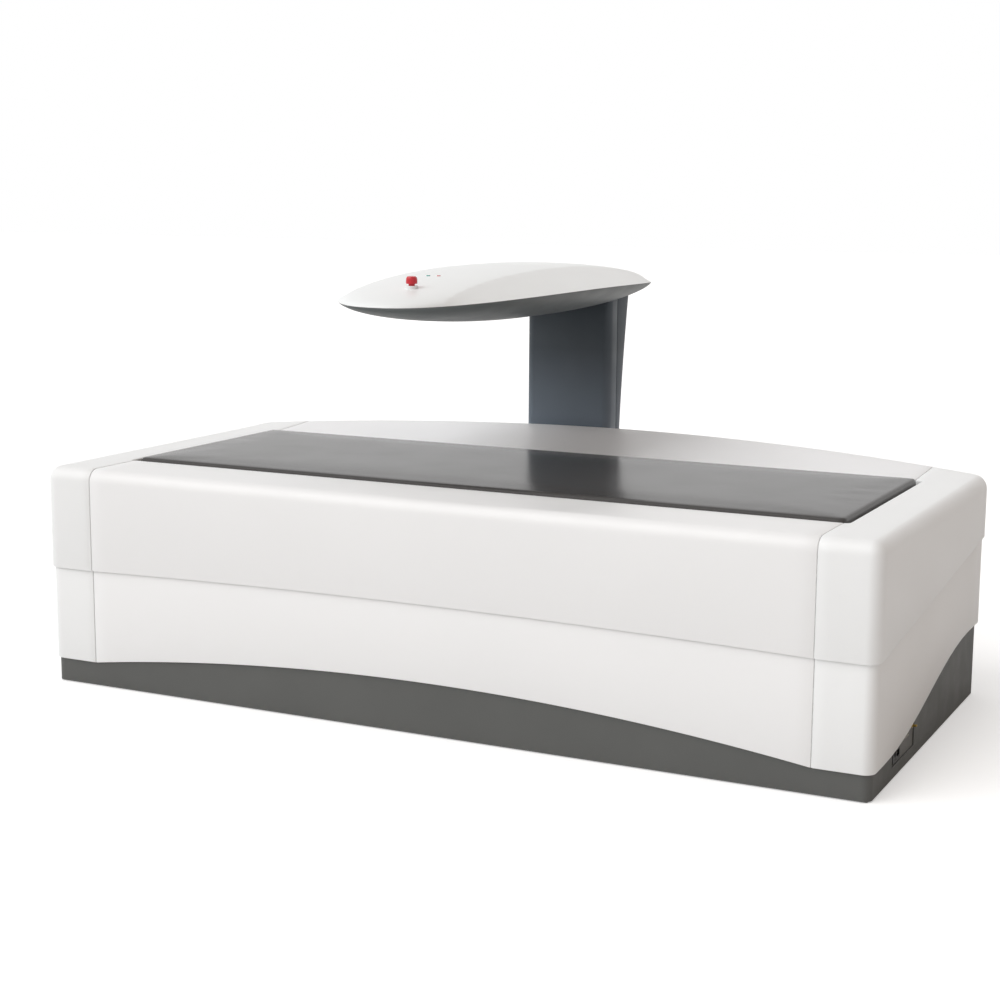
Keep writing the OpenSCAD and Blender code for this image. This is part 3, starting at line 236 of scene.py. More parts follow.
def noiseOn(tree, where, size, detail=3.0):
    texture = addNode(tree, "ShaderNodeTexNoise", Scale=1 / size, Detail=detail)
    tree.links.new(where, texture.inputs["Vector"])
    return texture.outputs["Fac"]


def rangeOf(tree, value, low, high, fromLow=0.3, fromHigh=0.7):
    spread = addNode(tree, "ShaderNodeMapRange")
    for key, number in (("From Min", fromLow), ("From Max", fromHigh), ("To Min", low), ("To Max", high)):
        spread.inputs[key].default_value = number
    tree.links.new(value, spread.inputs["Value"])
    return spread.outputs["Result"]


def blendColours(tree, factor, first, second):
    mix = addNode(tree, "ShaderNodeMix", data_type="RGBA")
    tree.links.new(factor, mix.inputs["Factor"])
    for socket, colour in ((6, first), (7, second)):
        if isinstance(colour, tuple):
            mix.inputs[socket].default_value = (*colour, 1)
        else:
            tree.links.new(colour, mix.inputs[socket])
    return mix.outputs[2]


def bumpFrom(tree, height, depth, shader, under=None):
    bump = addNode(tree, "ShaderNodeBump", Distance=depth, Strength=1.0)
    tree.links.new(height, bump.inputs["Height"])
    if under:
        tree.links.new(under, bump.inputs["Normal"])
    tree.links.new(bump.outputs["Normal"], shader.inputs["Normal"])
    return bump.outputs["Normal"]


# A plain surface with cloudy colour, uneven gloss and a fine grain.
def clouded(name, colour, roughness, shade=0.94, cloud=0.35, grain=0.0012, depth=0.00002, metallic=0.0,
            stretch=(1, 1, 1), foot=None, **sockets):
    finish, tree, shader = startFinish(name, roughness, metallic, **sockets)
    where = objectPlace(tree, stretch)
    base = linear(colour)
    darker = darkened(base, shade)
    # A foot, where given, blends in a paler colour below the given heights: a painted reflection.
    if foot:
        height = addNode(tree, "ShaderNodeSeparateXYZ")
        tree.links.new(where, height.inputs["Vector"])
        share = rangeOf(tree, height.outputs["Z"], 0, 1, foot["low"], foot["high"])
        pale = linear(foot["colour"])
        base = blendColours(tree, share, pale, base)
        darker = blendColours(tree, share, darkened(pale, shade), darker)
    colourOut = blendColours(tree, rangeOf(tree, noiseOn(tree, where, cloud), 0, 1), base, darker)
    tree.links.new(colourOut, shader.inputs["Base Color"])
    gloss = rangeOf(tree, noiseOn(tree, where, cloud / 4), roughness * 0.88, min(1, roughness * 1.12))
    tree.links.new(gloss, shader.inputs["Roughness"])
    bumpFrom(tree, noiseOn(tree, where, grain, 2.0), depth, shader)
    return finish


coverFinish = {
    "white": (250, 250, 250),
    "endWhite": (249, 250, 250),
    # The rear cover's white is a shade darker than the front's: painted shade.
    "rearWhiteShaded": (246, 246, 247),
    "headWhite": (248, 250, 250),
    "headGrey": (112, 117, 118),
    "columnGrey": (66, 75, 83),
    # The column's paler foot is a painted reflection of the white table rim.
    "columnFootSheen": {"colour": (116, 127, 139), "low": 0.62, "high": 0.86},    # paler towards the table
    "plinthGrey": (97, 98, 96),
    "gloss": 0.4,
}


def mouldedWhite(name, colour):
    return clouded(name, colour, coverFinish["gloss"], shade=0.975, cloud=0.6, grain=0.0011, depth=0.000012)


finishes = {
    "cover_front": mouldedWhite("mouldedWhiteFront", coverFinish["white"]),
    "cover_end": mouldedWhite("mouldedWhiteEnd", coverFinish["endWhite"]),
    "cover_rear": mouldedWhite("mouldedWhiteRearShaded", coverFinish["rearWhiteShaded"]),
    "head_white": mouldedWhite("mouldedWhiteHead", coverFinish["headWhite"]),
    "head_under": clouded("mouldedGreyHead", coverFinish["headGrey"], 0.42, shade=0.93),
    "column_grey": clouded("columnPaintAndFootSheen", coverFinish["columnGrey"], 0.5, shade=0.9, grain=0.0008,
                           depth=0.00003, foot=coverFinish["columnFootSheen"]),
    "plinth_grey": clouded("texturedPlinth", coverFinish["plinthGrey"], 0.55, shade=0.9, grain=0.0009,
                           depth=0.00006, **{"Specular IOR Level": 0.35}),
    "frame_grey": clouded("powderCoat", (78, 82, 88), 0.5, shade=0.9, grain=0.0010, depth=0.00008),
    "foot_rubber": clouded("footRubber", (38, 38, 38), 0.75, grain=0.0006, depth=0.00006),
    "panel_laminate": clouded("grayLaminate", (186, 182, 172), 0.5, shade=0.93, cloud=0.08),
    "motor_black": clouded("motorPaint", (48, 49, 52), 0.4, grain=0.0007, depth=0.00005),
    "belt_rubber": clouded("beltRubber", (26, 26, 27), 0.7, grain=0.0010, depth=0.0001),
    "case_grey": clouded("caseSheet", (145, 150, 155), 0.38, shade=0.92, cloud=0.12, metallic=0.6),
    "control_green": clouded("controlPaint", (58, 92, 80), 0.42, cloud=0.12),
    "inlet_plate": clouded("inletPaint", (100, 99, 96), 0.5, grain=0.0009, depth=0.00005),
    "inlet_black": clouded("inletPlastic", (22, 22, 23), 0.35, grain=0.0005, depth=0.00002),
    "socket_grey": clouded("socketPlastic", (176, 174, 168), 0.4, cloud=0.03, grain=0.0005),
    "collar_pale": clouded("collarPlastic", (244, 246, 246), 0.35, cloud=0.04, grain=0.0005),
    "button_red": clouded("buttonPlastic", (214, 40, 52), 0.25, shade=0.85, cloud=0.03, grain=0.0005),
    "lamp_green": clouded("greenLens", (84, 178, 164), 0.18, cloud=0.02, **{"Coat Weight": 0.5}),
    "lamp_pink": clouded("pinkLens", (226, 150, 148), 0.18, cloud=0.02, **{"Coat Weight": 0.5}),
    "lens_red": clouded("laserLens", (110, 14, 16), 0.08, cloud=0.02, **{"Coat Weight": 1.0}),
    "screw_black": clouded("blackOxide", (46, 46, 48), 0.42, cloud=0.01, grain=0.0004, metallic=0.7),
    "brush_black": clouded("brushHair", (34, 34, 36), 0.85, shade=0.55, cloud=0.01, grain=0.0008,
                           depth=0.0004, stretch=(1, 1, 0.05)),
    "tray_zinc": clouded("zincSheet", (172, 176, 180), 0.34, shade=0.8, cloud=0.02, metallic=0.85),
    "nut_steel": clouded("platedNut", (184, 184, 186), 0.28, cloud=0.01, grain=0.0005, metallic=1.0),
    "rail_steel": clouded("groundRail", (196, 198, 202), 0.2, cloud=0.05, grain=0.0004, depth=0.00001,
                          metallic=1.0, stretch=(0.05, 1, 1)),
    "pulley_alu": clouded("turnedAluminium", (198, 200, 205), 0.3, cloud=0.01, grain=0.0004, metallic=1.0),
    "pin_metal": clouded("inletPin", (206, 200, 184), 0.25, cloud=0.005, metallic=1.0),
    "earth_brass": clouded("earthBrass", (196, 164, 84), 0.3, cloud=0.006, metallic=1.0),
}

padFinish = {
    "colour": (86, 84, 83),
    "grain": 0.0035,
    "grainDepth": 0.00002,
    "creasePaintedShade": 0.7,
    "wornPatch": 0.3,        # size of the duller patches
    "wornShade": 0.92,
    "gloss": 0.20,
    "glossPatch": 0.14,
    "shine": 0.11,
    "ripple": 0.09,
    "rippleDepth": 0.0001,
}


# Coated vinyl: fine leather cells with painted shade darkening their creases, dulled a little where people
# have lain on it.
def paddedVinyl(look):
    finish, tree, shader = startFinish("padVinyl", look["gloss"], **{"Specular IOR Level": look["shine"]})
    where = objectPlace(tree)
    cells = addNode(tree, "ShaderNodeTexVoronoi", feature="DISTANCE_TO_EDGE", Scale=1 / look["grain"])
    tree.links.new(where, cells.inputs["Vector"])
    grain = rangeOf(tree, cells.outputs["Distance"], 0, 1, 0.0, 0.25)
    base = linear(look["colour"])
    worn = rangeOf(tree, noiseOn(tree, where, look["wornPatch"]), 0, 1)
    cloudy = blendColours(tree, worn, base, darkened(base, look["wornShade"]))
    # The cells' edges are painted darker: painted shade in the grain's creases.
    creasesPaintedDark = blendColours(tree, grain, darkened(base, look["creasePaintedShade"]), cloudy)
    tree.links.new(creasesPaintedDark, shader.inputs["Base Color"])
    patches = noiseOn(tree, where, look["glossPatch"])
    gloss = rangeOf(tree, patches, look["gloss"] * 0.95, look["gloss"] * 1.08)
    tree.links.new(gloss, shader.inputs["Roughness"])
    ripple = bumpFrom(tree, noiseOn(tree, where, look["ripple"]), look["rippleDepth"], shader)
    bumpFrom(tree, grain, look["grainDepth"], shader, ripple)
    return finish


finishes["pad_vinyl"] = paddedVinyl(padFinish)
print("finishes made:", len(finishes))


# The table's covers: a rounded-edge section swept round the outline, one cover at a time.
shell = {
    "endDepth": 1.076,       # from the front face to the rear edge at the table's ends
    "rearBow": 0.162,        # how far the rear edge bows out past that
    "frontRadius": 0.034,
    "rearRadius": 0.045,
    "edgeWidth": 0.032,
    "edgeHeight": 0.036,
    "crest": 0.036,          # the rear rim's rise in the middle
    "crestPower": 1.3,
    "wall": 0.004,
    "seam": 0.320,
    "seamArch": 0.016,
    "seamRise": 0.112,
    "skirt": 0.066,
    "skirtArch": 0.071,
    "skirtRise": 0.130,
    "frontReach": 0.1,       # how far back from the front face its own seam and skirt lines go
    "skirtReach": 0.85,      # the length over which an end's skirt rises
    "lowerStep": 0.006,
    "lap": 0.012,
    "lipRound": 0.005,
    "padGap": 0.004,
    "padOver": 0.008,        # how far the pad reaches past the seams
    "slotTop": 0.476,
    "slotFoot": 0.412,
    "stripPlay": 0.0002,     # between the strip in a seam and the covers beside it
    "stripInset": 0.003,     # from the covers' outside in to that strip
    "cornerSteps": 14,
    "edgeSteps": 10,
    "frontSteps": 48,
    "rearSteps": 72,
    "sideSteps": 16,
    "softEdge": 0.0016,
}
wallZ = topZ - shell["edgeHeight"]
seamX = padHigh.x - shell["padOver"]
endStart = 2 * seamX - longEnd                   # where the right end cover starts, past the seam
bowRadius = (halfLength ** 2 + shell["rearBow"] ** 2) / (2 * shell["rearBow"])
bowY = frontY + shell["endDepth"] + shell["rearBow"] - bowRadius
frontCornerX = halfLength - shell["frontRadius"]
frontCornerY = frontY + shell["frontRadius"]
rearCornerX = halfLength - shell["rearRadius"]
rearCornerY = bowY + math.sqrt((bowRadius - shell["rearRadius"]) ** 2 - rearCornerX ** 2)
rearTurn = math.asin(rearCornerX / (bowRadius - shell["rearRadius"]))
recessFront = padLow.y - shell["padGap"]
recessRear = padHigh.y + shell["padGap"]
recessRadius = padHigh.x + shell["padGap"] - endStart
shellMiddle = (0, frontY + shell["endDepth"] / 2, 0.2)


def onFront(point):
    return abs(point.x) < seamX and point.y < frontY + shell["frontReach"]


def frontArch(point):
    return max(0, 1 - (point.x / seamX) ** 2)


def seamHeight(point):
    if onFront(point):
        return shell["seam"] + shell["seamArch"] * frontArch(point)
    share = min(max((point.y - frontY) / (rearCornerY - frontY), 0), 1)
    return shell["seam"] + shell["seamRise"] * share


def skirtHeight(point):
    if onFront(point):
        return shell["skirt"] + shell["skirtArch"] * frontArch(point)
    share = min(max((point.y - frontY - shell["frontReach"]) / shell["skirtReach"], 0), 1)
    return shell["skirt"] + shell["skirtRise"] * (0.5 - 0.5 * math.cos(math.pi * share))


# Where the rim over a point ends, at the recess that holds the pad.
def recessPoint(point):
    core = Vector((max(-endStart, min(endStart, point.x)),
                   max(recessFront + recessRadius, min(recessRear - recessRadius, point.y)), point.z))
    away = point - core
    return core + away * (recessRadius / away.length)


def crestAt(point):
    if point.y <= recessRear:
        return 0
    edge = bowY + math.sqrt((bowRadius - shell["edgeWidth"]) ** 2 - min(abs(point.x), rearCornerX) ** 2)
    share = min((point.y - recessRear) / (edge - recessRear), 1)
    return shell["crest"] * max(0, 1 - (point.x / halfLength) ** 2) * share ** shell["crestPower"]


# The upper covers' section at the front face: a wall under a rounded edge, as one open line of edges.
def startSection(name, x):
    clearSelection()
    bpy.ops.mesh.primitive_circle_add(
        vertices=4 * shell["edgeSteps"], radius=1, location=(x, frontY + shell["edgeWidth"], wallZ),
        rotation=(math.pi / 2, 0, math.pi / 2))
    bpy.context.object.scale = (shell["edgeWidth"], shell["edgeHeight"], 1)
    piece = nameNew(name)
    pick(piece, "VERT", lambda p: p.y > frontY + shell["edgeWidth"] + near or p.z < wallZ - near)
    bpy.ops.mesh.delete(type="VERT")
    pick(piece, "VERT", lambda p: p.z < wallZ + near)
    bpy.ops.mesh.extrude_vertices_move(TRANSFORM_OT_translate={"value": (0, 0, shell["seam"] - wallZ)})
    bpy.ops.mesh.select_all(action="SELECT")
    return piece


# A plain upright line at the front face, set in by the given step.
def startUpright(name, x, step):
    clearSelection()
    y = frontY + step
    bpy.ops.mesh.primitive_plane_add(size=0.1, location=(x, y + 0.05, shell["skirt"] + 0.05),
                                     rotation=(0, math.pi / 2, 0))
    piece = nameNew(name)
    pick(piece, "VERT", lambda p: p.y > y + near)
    bpy.ops.mesh.delete(type="VERT")
    bpy.ops.mesh.select_all(action="SELECT")
    return piece


# Moves a section from the front face round to the bowed rear at the given place along the table.
def bendToRear(piece, x):
    turn = math.asin(x / bowRadius)
    for point in chosenPoints(piece):
        reach = bowRadius - (point.co.y - frontY)
        point.co.x = reach * math.sin(turn)
        point.co.y = bowY + reach * math.cos(turn)
    bpy.ops.object.mode_set(mode="EDIT")


# The sweeps that take a section at the front face along each cover's stretch of the outline.
def sweepFront():
    drawOut((-2 * longEnd, 0, 0), shell["frontSteps"])


def sweepEnd():
    drawOut((frontCornerX - endStart, 0, 0), 4)
    sweepRound(math.pi / 2, (frontCornerX, frontCornerY), shell["cornerSteps"])
    drawOut((0, rearCornerY - frontCornerY, 0), shell["sideSteps"])
    sweepRound(math.pi / 2 - rearTurn, (rearCornerX, rearCornerY), shell["cornerSteps"])
    sweepRound(rearTurn - math.asin(endStart / bowRadius), (0, bowY), 3)


def sweepRear(piece):
    bendToRear(piece, longEnd)
    sweepRound(2 * math.asin(longEnd / bowRadius), (0, bowY), shell["rearSteps"])


# Carries the rim's free edge in to the recess and turns it down as a lip.
def closeRim(piece, rings=5):
    pick(piece, "VERT", lambda p: p.z > topZ - near)
    for ring in range(rings):
        bpy.ops.mesh.extrude_edges_move(TRANSFORM_OT_translate={"value": (0, 0, 0)})
        for point in chosenPoints(piece):
            point.co = point.co.lerp(recessPoint(point.co), 1 / (rings - ring))
        bpy.ops.object.mode_set(mode="EDIT")
    drawOut((0, 0, padLow.z - topZ))
    pick(piece, "EDGE", lambda a, b: min(a.z, b.z) > topZ - near
         and (a - recessPoint(a)).length < near and (b - recessPoint(b)).length < near)
    bpy.ops.mesh.bevel(offset=shell["lipRound"], segments=4, affect="EDGES")
    closeEdit()


# Sets an upper cover's two edges: the rim's crest, and the seam below it or the top of the arm's slot.
def setUpperEdges(piece, atRear):
    for point in piece.data.vertices:
        if point.co.z > wallZ - near:
            point.co.z += crestAt(point.co)
        elif abs(point.co.z - shell["seam"]) < near:
            point.co.z = shell["slotTop"] if atRear else seamHeight(point.co)


# Sets a lower panel's two edges: the skirt below, and the lap above it or the foot of the arm's slot.
def setLowerEdges(piece, atRear):
    bottom = min(point.co.z for point in piece.data.vertices)
    for point in piece.data.vertices:
        if point.co.z < bottom + near:
            point.co.z = shell["skirt"] + shell["skirtRise"] if atRear else skirtHeight(point.co)
        else:
            point.co.z = shell["slotFoot"] if atRear else seamHeight(point.co) + shell["lap"]


# Turns an open sheet into a moulding with a wall and softened edges.
def mould(piece, middle, softEdge):
    faceOut(piece, middle)
    thicken(piece, shell["wall"])
    softenEdges(piece, softEdge)
    smooth(piece)


def mirrorCopy(piece, name):
    bpy.ops.object.select_all(action="DESELECT")
    piece.select_set(True)
    bpy.context.view_layer.objects.active = piece
    bpy.ops.object.duplicate()
    copy = bpy.context.object
    copy.name = name
    copy.data.name = name
    bpy.ops.transform.resize(value=(-1, 1, 1), center_override=(0, 0, 0))
    bpy.ops.object.transform_apply(location=True, rotation=True, scale=True)
    pick(copy, "FACE", lambda centre, normal: True)
    bpy.ops.mesh.normals_make_consistent(inside=False)
    closeEdit()
    return copy


# Joins pieces into the first of them.
def joinTo(piece, *others):
    clearSelection()
    for one in (piece, *others):
        one.select_set(True)
    bpy.context.view_layer.objects.active = piece
    bpy.ops.object.join()


# The strip in the seam between a long cover and the right end cover, at the front or the rear.
def makeStrip(start, atRear, *settings):
    reach = endStart - longEnd - 2 * shell["stripPlay"]
    first = longEnd + shell["stripPlay"]
    strip = start("seamStrip", first, *settings)
    if atRear:
        bendToRear(strip, first + reach)
        sweepRound(reach / bowRadius, (0, bowY), 2)
    else:
        drawOut((reach, 0, 0), 2)
    return strip


def insetStrip(strip):
    faceOut(strip, shellMiddle)
    pick(strip, "FACE", lambda centre, normal: True)
    bpy.ops.transform.shrink_fatten(value=-shell["stripInset"])
    closeEdit()
    thicken(strip, shell["wall"] / 2)
    smooth(strip)


def makeUpperStrip(atRear):
    strip = makeStrip(startSection, atRear)
    closeRim(strip)
    setUpperEdges(strip, atRear)
    insetStrip(strip)
    return strip


def makeLowerStrip(atRear):
    strip = makeStrip(startUpright, atRear, shell["lowerStep"])
    closeEdit()
    setLowerEdges(strip, atRear)
    insetStrip(strip)
    return strip


def finishUpper(piece, atRear=False):
    closeRim(piece)
    setUpperEdges(piece, atRear)
    mould(piece, shellMiddle, shell["softEdge"])


def finishLower(piece, atRear=False):
    closeEdit()
    setLowerEdges(piece, atRear)
    mould(piece, shellMiddle, shell["softEdge"])


def placeCovers(front, rear, right, left, level, form):
    place(front, "table", "cover_front", finishes["cover_front"], f"{level}_front_{form}")
    place(rear, "table", "cover_rear", finishes["cover_rear"], f"{level}_rear_{form}")
    place(right, "table", "cover_end", finishes["cover_end"], f"{level}_right_end_{form}")
    place(left, "table", "cover_end", finishes["cover_end"], f"{level}_left_end_{form}")


def makeUpperCovers():
    front = startSection("upperFrontCover", longEnd)
    sweepFront()
    finishUpper(front)
    rear = startSection("upperRearCover", longEnd)
    sweepRear(rear)
    finishUpper(rear, atRear=True)
    right = startSection("upperRightEndCover", endStart)
    sweepEnd()
    finishUpper(right)
    joinTo(right, makeUpperStrip(False), makeUpperStrip(True))
    left = mirrorCopy(right, "upperLeftEndCover")
    placeCovers(front, rear, right, left, "upper", "cover")


def makeLowerCovers():
    front = startUpright("lowerFrontPanel", longEnd, shell["lowerStep"])
    sweepFront()
    finishLower(front)
    rear = startUpright("lowerRearPanel", longEnd, shell["lowerStep"])
    sweepRear(rear)
    finishLower(rear, atRear=True)
    right = startUpright("lowerRightEndPanel", endStart, shell["lowerStep"])
    sweepEnd()
    finishLower(right)
    joinTo(right, makeLowerStrip(False), makeLowerStrip(True))
    left = mirrorCopy(right, "lowerLeftEndPanel")
    placeCovers(front, rear, right, left, "lower", "panel")


makeUpperCovers()
makeLowerCovers()
print("covers made")


# The arm's column: two casings round the post, the rear one flaring towards the head.
column = {
    "cornerRadius": 0.025,
    "rearRadius": 0.056,
    "depthAtFoot": 0.120,
    "flare": 0.072,
    "flarePower": 1.8,
    "levels": 28,
    "softEdge": 0.001,
}
columnLow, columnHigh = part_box("column_front_cover")
rearLow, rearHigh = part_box("column_rear_cover")


# A rounded outline at the foot, open along its straight side and ready to be drawn up.
def startCasing(name, low, high, radius, openY):
    piece = addCube(name, (low.x, low.y, low.z), (high.x, high.y, low.z + 0.01))
    pick(piece, "FACE", lambda centre, normal: normal.z > -0.5)
    bpy.ops.mesh.delete(type="FACE")
    pick(piece, "VERT", lambda p: abs(p.y - openY) > 0.01)
    bpy.ops.mesh.bevel(offset=radius, segments=12, affect="VERTICES")
    pick(piece, "FACE", lambda centre, normal: True)
    bpy.ops.mesh.delete(type="ONLY_FACE")
    pick(piece, "EDGE", lambda a, b: abs(a.y - openY) < near and abs(b.y - openY) < near)
    bpy.ops.mesh.delete(type="EDGE")
    bpy.ops.mesh.select_all(action="SELECT")
    return piece


def makeColumn():
    height = columnHigh.z - columnLow.z
    front = startCasing("columnFrontCover", columnLow, columnHigh, column["cornerRadius"], columnHigh.y)
    drawOut((0, 0, height), 2)
    closeEdit()
    rearFoot = Vector((rearHigh.x, columnLow.y + column["depthAtFoot"], rearHigh.z))
    rear = startCasing("columnRearCover", rearLow, rearFoot, column["rearRadius"], rearLow.y)
    drawOut((0, 0, height), column["levels"])
    closeEdit()
    for point in rear.data.vertices:
        if point.co.y > rearLow.y + near:
            share = (point.co.z - rearLow.z) / height
            point.co.y += column["flare"] * share ** column["flarePower"]
    middle = ((columnLow.x + columnHigh.x) / 2, columnHigh.y, (columnLow.z + columnHigh.z) / 2)
    for piece, casing in ((front, "column_front_cover"), (rear, "column_rear_cover")):
        mould(piece, middle, column["softEdge"])
        place(piece, "arm", "column_grey", finishes["column_grey"], casing)


makeColumn()
print("column made")


# The head: a white dome over a grey bowl, with one rounded plan and a rim that droops to the tips.
head = {
    "rimDroop": 0.021,
    "square": 2.3,           # how square the plan is: 2 gives an ellipse
    "shoulder": 0.150,       # from the middle to the lines past which the dome's flanks are straight
    "domeHeight": 0.060,
    "domePower": 0.5,
    "bowlDepth": 0.088,
    "bowlPower": 2.1,
    "bowlRound": 0.7,
    "wall": 0.004,
    "sides": 144,
    "rings": 22,
    "softEdge": 0.0005,
}
headLow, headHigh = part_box("head_lower_cover")
headMiddle = (headLow + headHigh) / 2
headHalf = (headHigh - headLow) / 2
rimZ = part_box("head_upper_cover")[0].z + head["rimDroop"]


def domeRise(share):
    return head["domeHeight"] * max(0, 1 - share * share) ** head["domePower"]


def bowlFall(share):
    return -head["bowlDepth"] * (1 - share ** head["bowlPower"]) ** head["bowlRound"]


def rimDroopAt(point):
    return head["rimDroop"] * ((point.y - headMiddle.y) / headHalf.y) ** 2


# Keeps a shell on its own side of the rim, where it meets the other in a flat ring.
def flattenRim(piece, side):
    for point in piece.data.vertices:
        rim = rimZ - rimDroopAt(point.co)
        if (point.co.z - rim) * side < 0:
            point.co.z = rim


# Moves a circle's share of the half width out to the squarer plan.
def squared(share):
    return math.copysign(abs(share) ** (2 / head["square"]), share)


# Rings drawn in from the rim to the middle, each at the height that the rise gives it.
def makeHeadShell(name, rise, reshape=None):
    clearSelection()
    bpy.ops.mesh.primitive_circle_add(vertices=head["sides"], radius=1, fill_type="NOTHING",
                                      location=(headMiddle.x, headMiddle.y, rimZ))
    bpy.context.object.scale = (headHalf.x, headHalf.y, 1)
    piece = nameNew(name)
    for point in piece.data.vertices:
        point.co.x = headMiddle.x + headHalf.x * squared((point.co.x - headMiddle.x) / headHalf.x)
        point.co.y = headMiddle.y + headHalf.y * squared((point.co.y - headMiddle.y) / headHalf.y)
    pick(piece, "EDGE", lambda a, b: True)
    centre = (headMiddle.x, headMiddle.y, rimZ)
    before = 1
    for ring in range(1, head["rings"]):
        share = math.cos(math.pi / 2 * ring / head["rings"])
        bpy.ops.mesh.extrude_edges_move(TRANSFORM_OT_translate={"value": (0, 0, rise(share) - rise(before))})
        bpy.ops.transform.resize(value=(share / before, share / before, 1), center_override=centre)
        before = share
    bpy.ops.mesh.extrude_edges_move(TRANSFORM_OT_translate={"value": (0, 0, rise(0) - rise(before))})
    bpy.ops.mesh.merge(type="CENTER")
    closeEdit()
    if reshape:
        reshape(piece)
    for point in piece.data.vertices:
        point.co.z -= rimDroopAt(point.co)
    faceOut(piece, (headMiddle.x, headMiddle.y, rimZ))
    thicken(piece, head["wall"])
    flattenRim(piece, 1 if rise(0) > 0 else -1)
    softenEdges(piece, head["softEdge"])
    smooth(piece, 50)
    return piece


# Share of the head's radius at a place, from 0 in the middle to 1 at the rim.
def headShare(along, across):
    power = head["square"]
    return (abs(along / headHalf.x) ** power + abs(across / headHalf.y) ** power) ** (1 / power)


# Straightens the dome's flanks between the shoulder lines and the rim.
def straightenFlanks(piece):
    shoulder = head["shoulder"]
    for side in (-1, 1):
        pick(piece, "FACE", lambda centre, normal: True)
        bpy.ops.mesh.bisect(plane_co=(headMiddle.x + side * shoulder, 0, 0), plane_no=(1, 0, 0))
        closeEdit()
    for point in piece.data.vertices:
        out, across = abs(point.co.x - headMiddle.x), point.co.y - headMiddle.y
        if out > shoulder + near:
            edge = headHalf.x * (1 - abs(across / headHalf.y) ** head["square"]) ** (1 / head["square"])
            crest = domeRise(min(1, headShare(shoulder, across)))
            point.co.z = rimZ + crest * max(0, (edge - out) / (edge - shoulder))


dome = makeHeadShell("headUpperCover", domeRise, straightenFlanks)
bowl = makeHeadShell("headLowerCover", bowlFall)
place(dome, "arm", "head_white", finishes["head_white"], "head_upper_cover")
place(bowl, "arm", "head_under", finishes["head_under"], "head_lower_cover")
print("head made")

# The pad: foam in coated vinyl, puffed up a little by a cloth simulation and flat underneath.
pad = {
    "shrink": 0.004,      # how much smaller than its space it starts, on every side
    "startHeight": 0.036,
    "cornerRadius": 0.014,
    "edgeRound": 0.009,
    "voxel": 0.012,
    "pressure": 4.0,
    "frames": 20,
    "swell": 0.0035,      # the furthest that a point may move
    "fill": 0.85,
}


def startPad():
    slack = Vector((pad["shrink"], pad["shrink"], 0))
    high = padHigh - slack
    piece = addCube("mattressPad", padLow + slack, (high.x, high.y, padLow.z + pad["startHeight"]))
    pick(piece, "EDGE", lambda a, b: abs(a.z - b.z) > near)
    bpy.ops.mesh.bevel(offset=pad["cornerRadius"], segments=8, affect="EDGES")
    top = padLow.z + pad["startHeight"]
    pick(piece, "EDGE", lambda a, b: min(a.z, b.z) > top - near)
    bpy.ops.mesh.bevel(offset=pad["edgeRound"], segments=5, affect="EDGES")
    closeEdit()
    applyModifier(piece, "REMESH", mode="VOXEL", voxel_size=pad["voxel"], adaptivity=0)
    return piece


def puffUp(piece):
    before = [point.co.copy() for point in piece.data.vertices]
    bpy.context.view_layer.objects.active = piece
    cloth = piece.modifiers.new("Cloth", "CLOTH")
    cloth.settings.use_pressure = True
    cloth.settings.uniform_pressure_force = pad["pressure"]
    cloth.settings.effector_weights.gravity = 0
    cloth.point_cache.frame_end = pad["frames"]
    scene = bpy.context.scene
    for number in range(1, pad["frames"] + 1):
        scene.frame_set(number)
    bpy.ops.object.modifier_apply(modifier=cloth.name)
    scene.frame_set(1)
    for point, old in zip(piece.data.vertices, before):
        move = point.co - old
        if move.length > pad["swell"]:
            point.co = old + move * (pad["swell"] / move.length)
        point.co.z = max(point.co.z, padLow.z)


def makePad():
    piece = startPad()
    puffUp(piece)
    applyModifier(piece, "SUBSURF", levels=1, render_levels=1)
    smooth(piece, 80)
    place(piece, "table", "pad_vinyl", finishes["pad_vinyl"], "mattress_pad")


makePad()
print("pad made")


# Finishes for the frame's own pieces, by the record's slot for each.
for entry in frame["record"]["subparts"]:
    piece = nodes[entry["node"]]
    if not piece.hide_render:
        piece.data.materials.clear()
        piece.data.materials.append(finishes[entry["material_slot"]])
print("frame pieces painted")

studio = {
    "keyTurn": (math.radians(44), 0, math.radians(-38)),
    "keyStrength": 1.38,
    "keySoftness": 0.9,
    "world": 0.65,
    "rightWall": (0.27, 0.16, 0.08),
    "wallReach": 0.8,    # how far to the right the room is at its dimmest
    "floorSize": 60,
    "floorShade": 0.86,
    "floorGlow": 0.42,
    "underInset": 0.02,      # from the table's outline in to the floor that stays dark
}


# The floor glows for the camera alone, and stays dark inside the plinth, where the arm's slot shows it.
def floorGlow(tree):
    coordinates = addNode(tree, "ShaderNodeTexCoord")
    split = addNode(tree, "ShaderNodeSeparateXYZ")
    tree.links.new(coordinates.outputs["Object"], split.inputs["Vector"])
    paths = addNode(tree, "ShaderNodeLightPath")
    halfDepth = shell["endDepth"] / 2
    spans = (("X", 0, halfLength), ("Y", frontY + halfDepth, halfDepth))
    inside = addNode(tree, "ShaderNodeMath", operation="MULTIPLY")
    for socket, (axis, middle, half) in enumerate(spans):
        within = addNode(tree, "ShaderNodeMath", operation="COMPARE")
        within.inputs[1].default_value = middle
        within.inputs[2].default_value = half - studio["underInset"]
        tree.links.new(split.outputs[axis], within.inputs[0])
        tree.links.new(within.outputs[0], inside.inputs[socket])
    glow = addNode(tree, "ShaderNodeMath", operation="MULTIPLY")
    tree.links.new(rangeOf(tree, inside.outputs[0], studio["floorGlow"], 0, 0, 1), glow.inputs[0])
    tree.links.new(paths.outputs["Is Camera Ray"], glow.inputs[1])
    return glow.outputs[0]


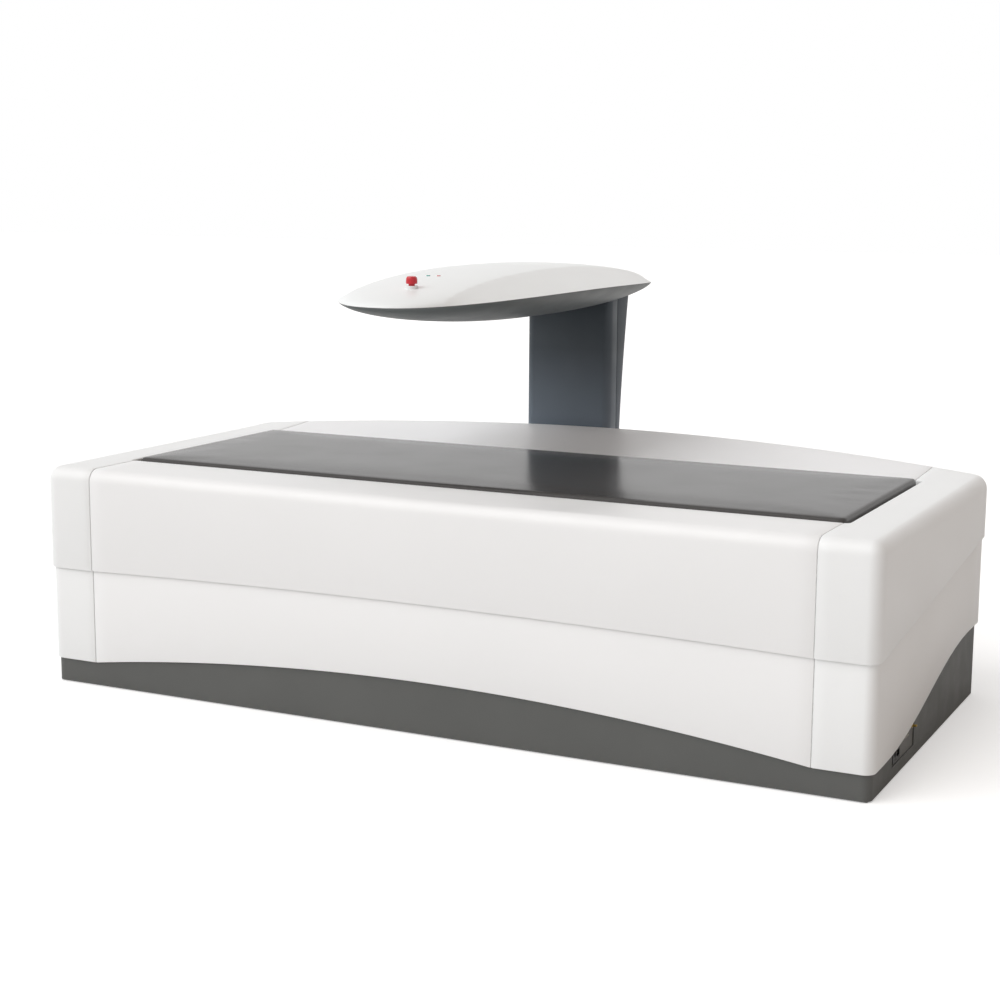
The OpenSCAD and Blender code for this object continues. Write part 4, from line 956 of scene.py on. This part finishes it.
def makeStudio():
    clearSelection()
    bpy.ops.object.light_add(type="SUN", rotation=studio["keyTurn"], location=(-3, -5, 5))
    key = bpy.context.object
    key.name = "keyLight"
    key.data.energy = studio["keyStrength"]
    key.data.angle = studio["keySoftness"]
    world = bpy.data.worlds.new("studioWorld")
    bpy.context.scene.world = world
    world.use_nodes = True
    tree = world.node_tree
    paths = addNode(tree, "ShaderNodeLightPath")
    seen = addNode(tree, "ShaderNodeMath", operation="MAXIMUM")
    shown = addNode(tree, "ShaderNodeMath", operation="MAXIMUM")
    tree.links.new(paths.outputs["Is Camera Ray"], seen.inputs[0])
    tree.links.new(paths.outputs["Is Glossy Ray"], seen.inputs[1])
    tree.links.new(seen.outputs[0], shown.inputs[0])
    tree.links.new(paths.outputs["Is Transmission Ray"], shown.inputs[1])
    # The room is dimmer and warmer towards the right of the table.
    around = addNode(tree, "ShaderNodeTexCoord")
    split = addNode(tree, "ShaderNodeSeparateXYZ")
    tree.links.new(around.outputs["Generated"], split.inputs[0])
    toRight = rangeOf(tree, split.outputs["X"], 0, 1, 0.0, studio["wallReach"])
    room = blendColours(tree, toRight, (1.0, 1.0, 1.0), studio["rightWall"])
    background = tree.nodes["Background"]
    tree.links.new(blendColours(tree, shown.outputs[0], room, (1.0, 1.0, 1.0)), background.inputs["Color"])
    strength = rangeOf(tree, shown.outputs[0], studio["world"], 1.0, 0, 1)
    tree.links.new(strength, background.inputs["Strength"])

    clearSelection()
    bpy.ops.mesh.primitive_plane_add(size=studio["floorSize"], location=(0, 0, 0))
    floor = bpy.context.object
    floor.name = "studioFloor"
    finish, tree, shader = startFinish("floorPaint", 0.9)
    shade = studio["floorShade"]
    shader.inputs["Base Color"].default_value = (shade, shade, shade, 1)
    shader.inputs["Emission Color"].default_value = (1, 1, 1, 1)
    glow = floorGlow(tree)
    tree.links.new(glow, shader.inputs["Emission Strength"])
    floor.data.materials.append(finish)
    bpy.context.scene.view_settings.view_transform = "Standard"


makeStudio()
print("studio set")
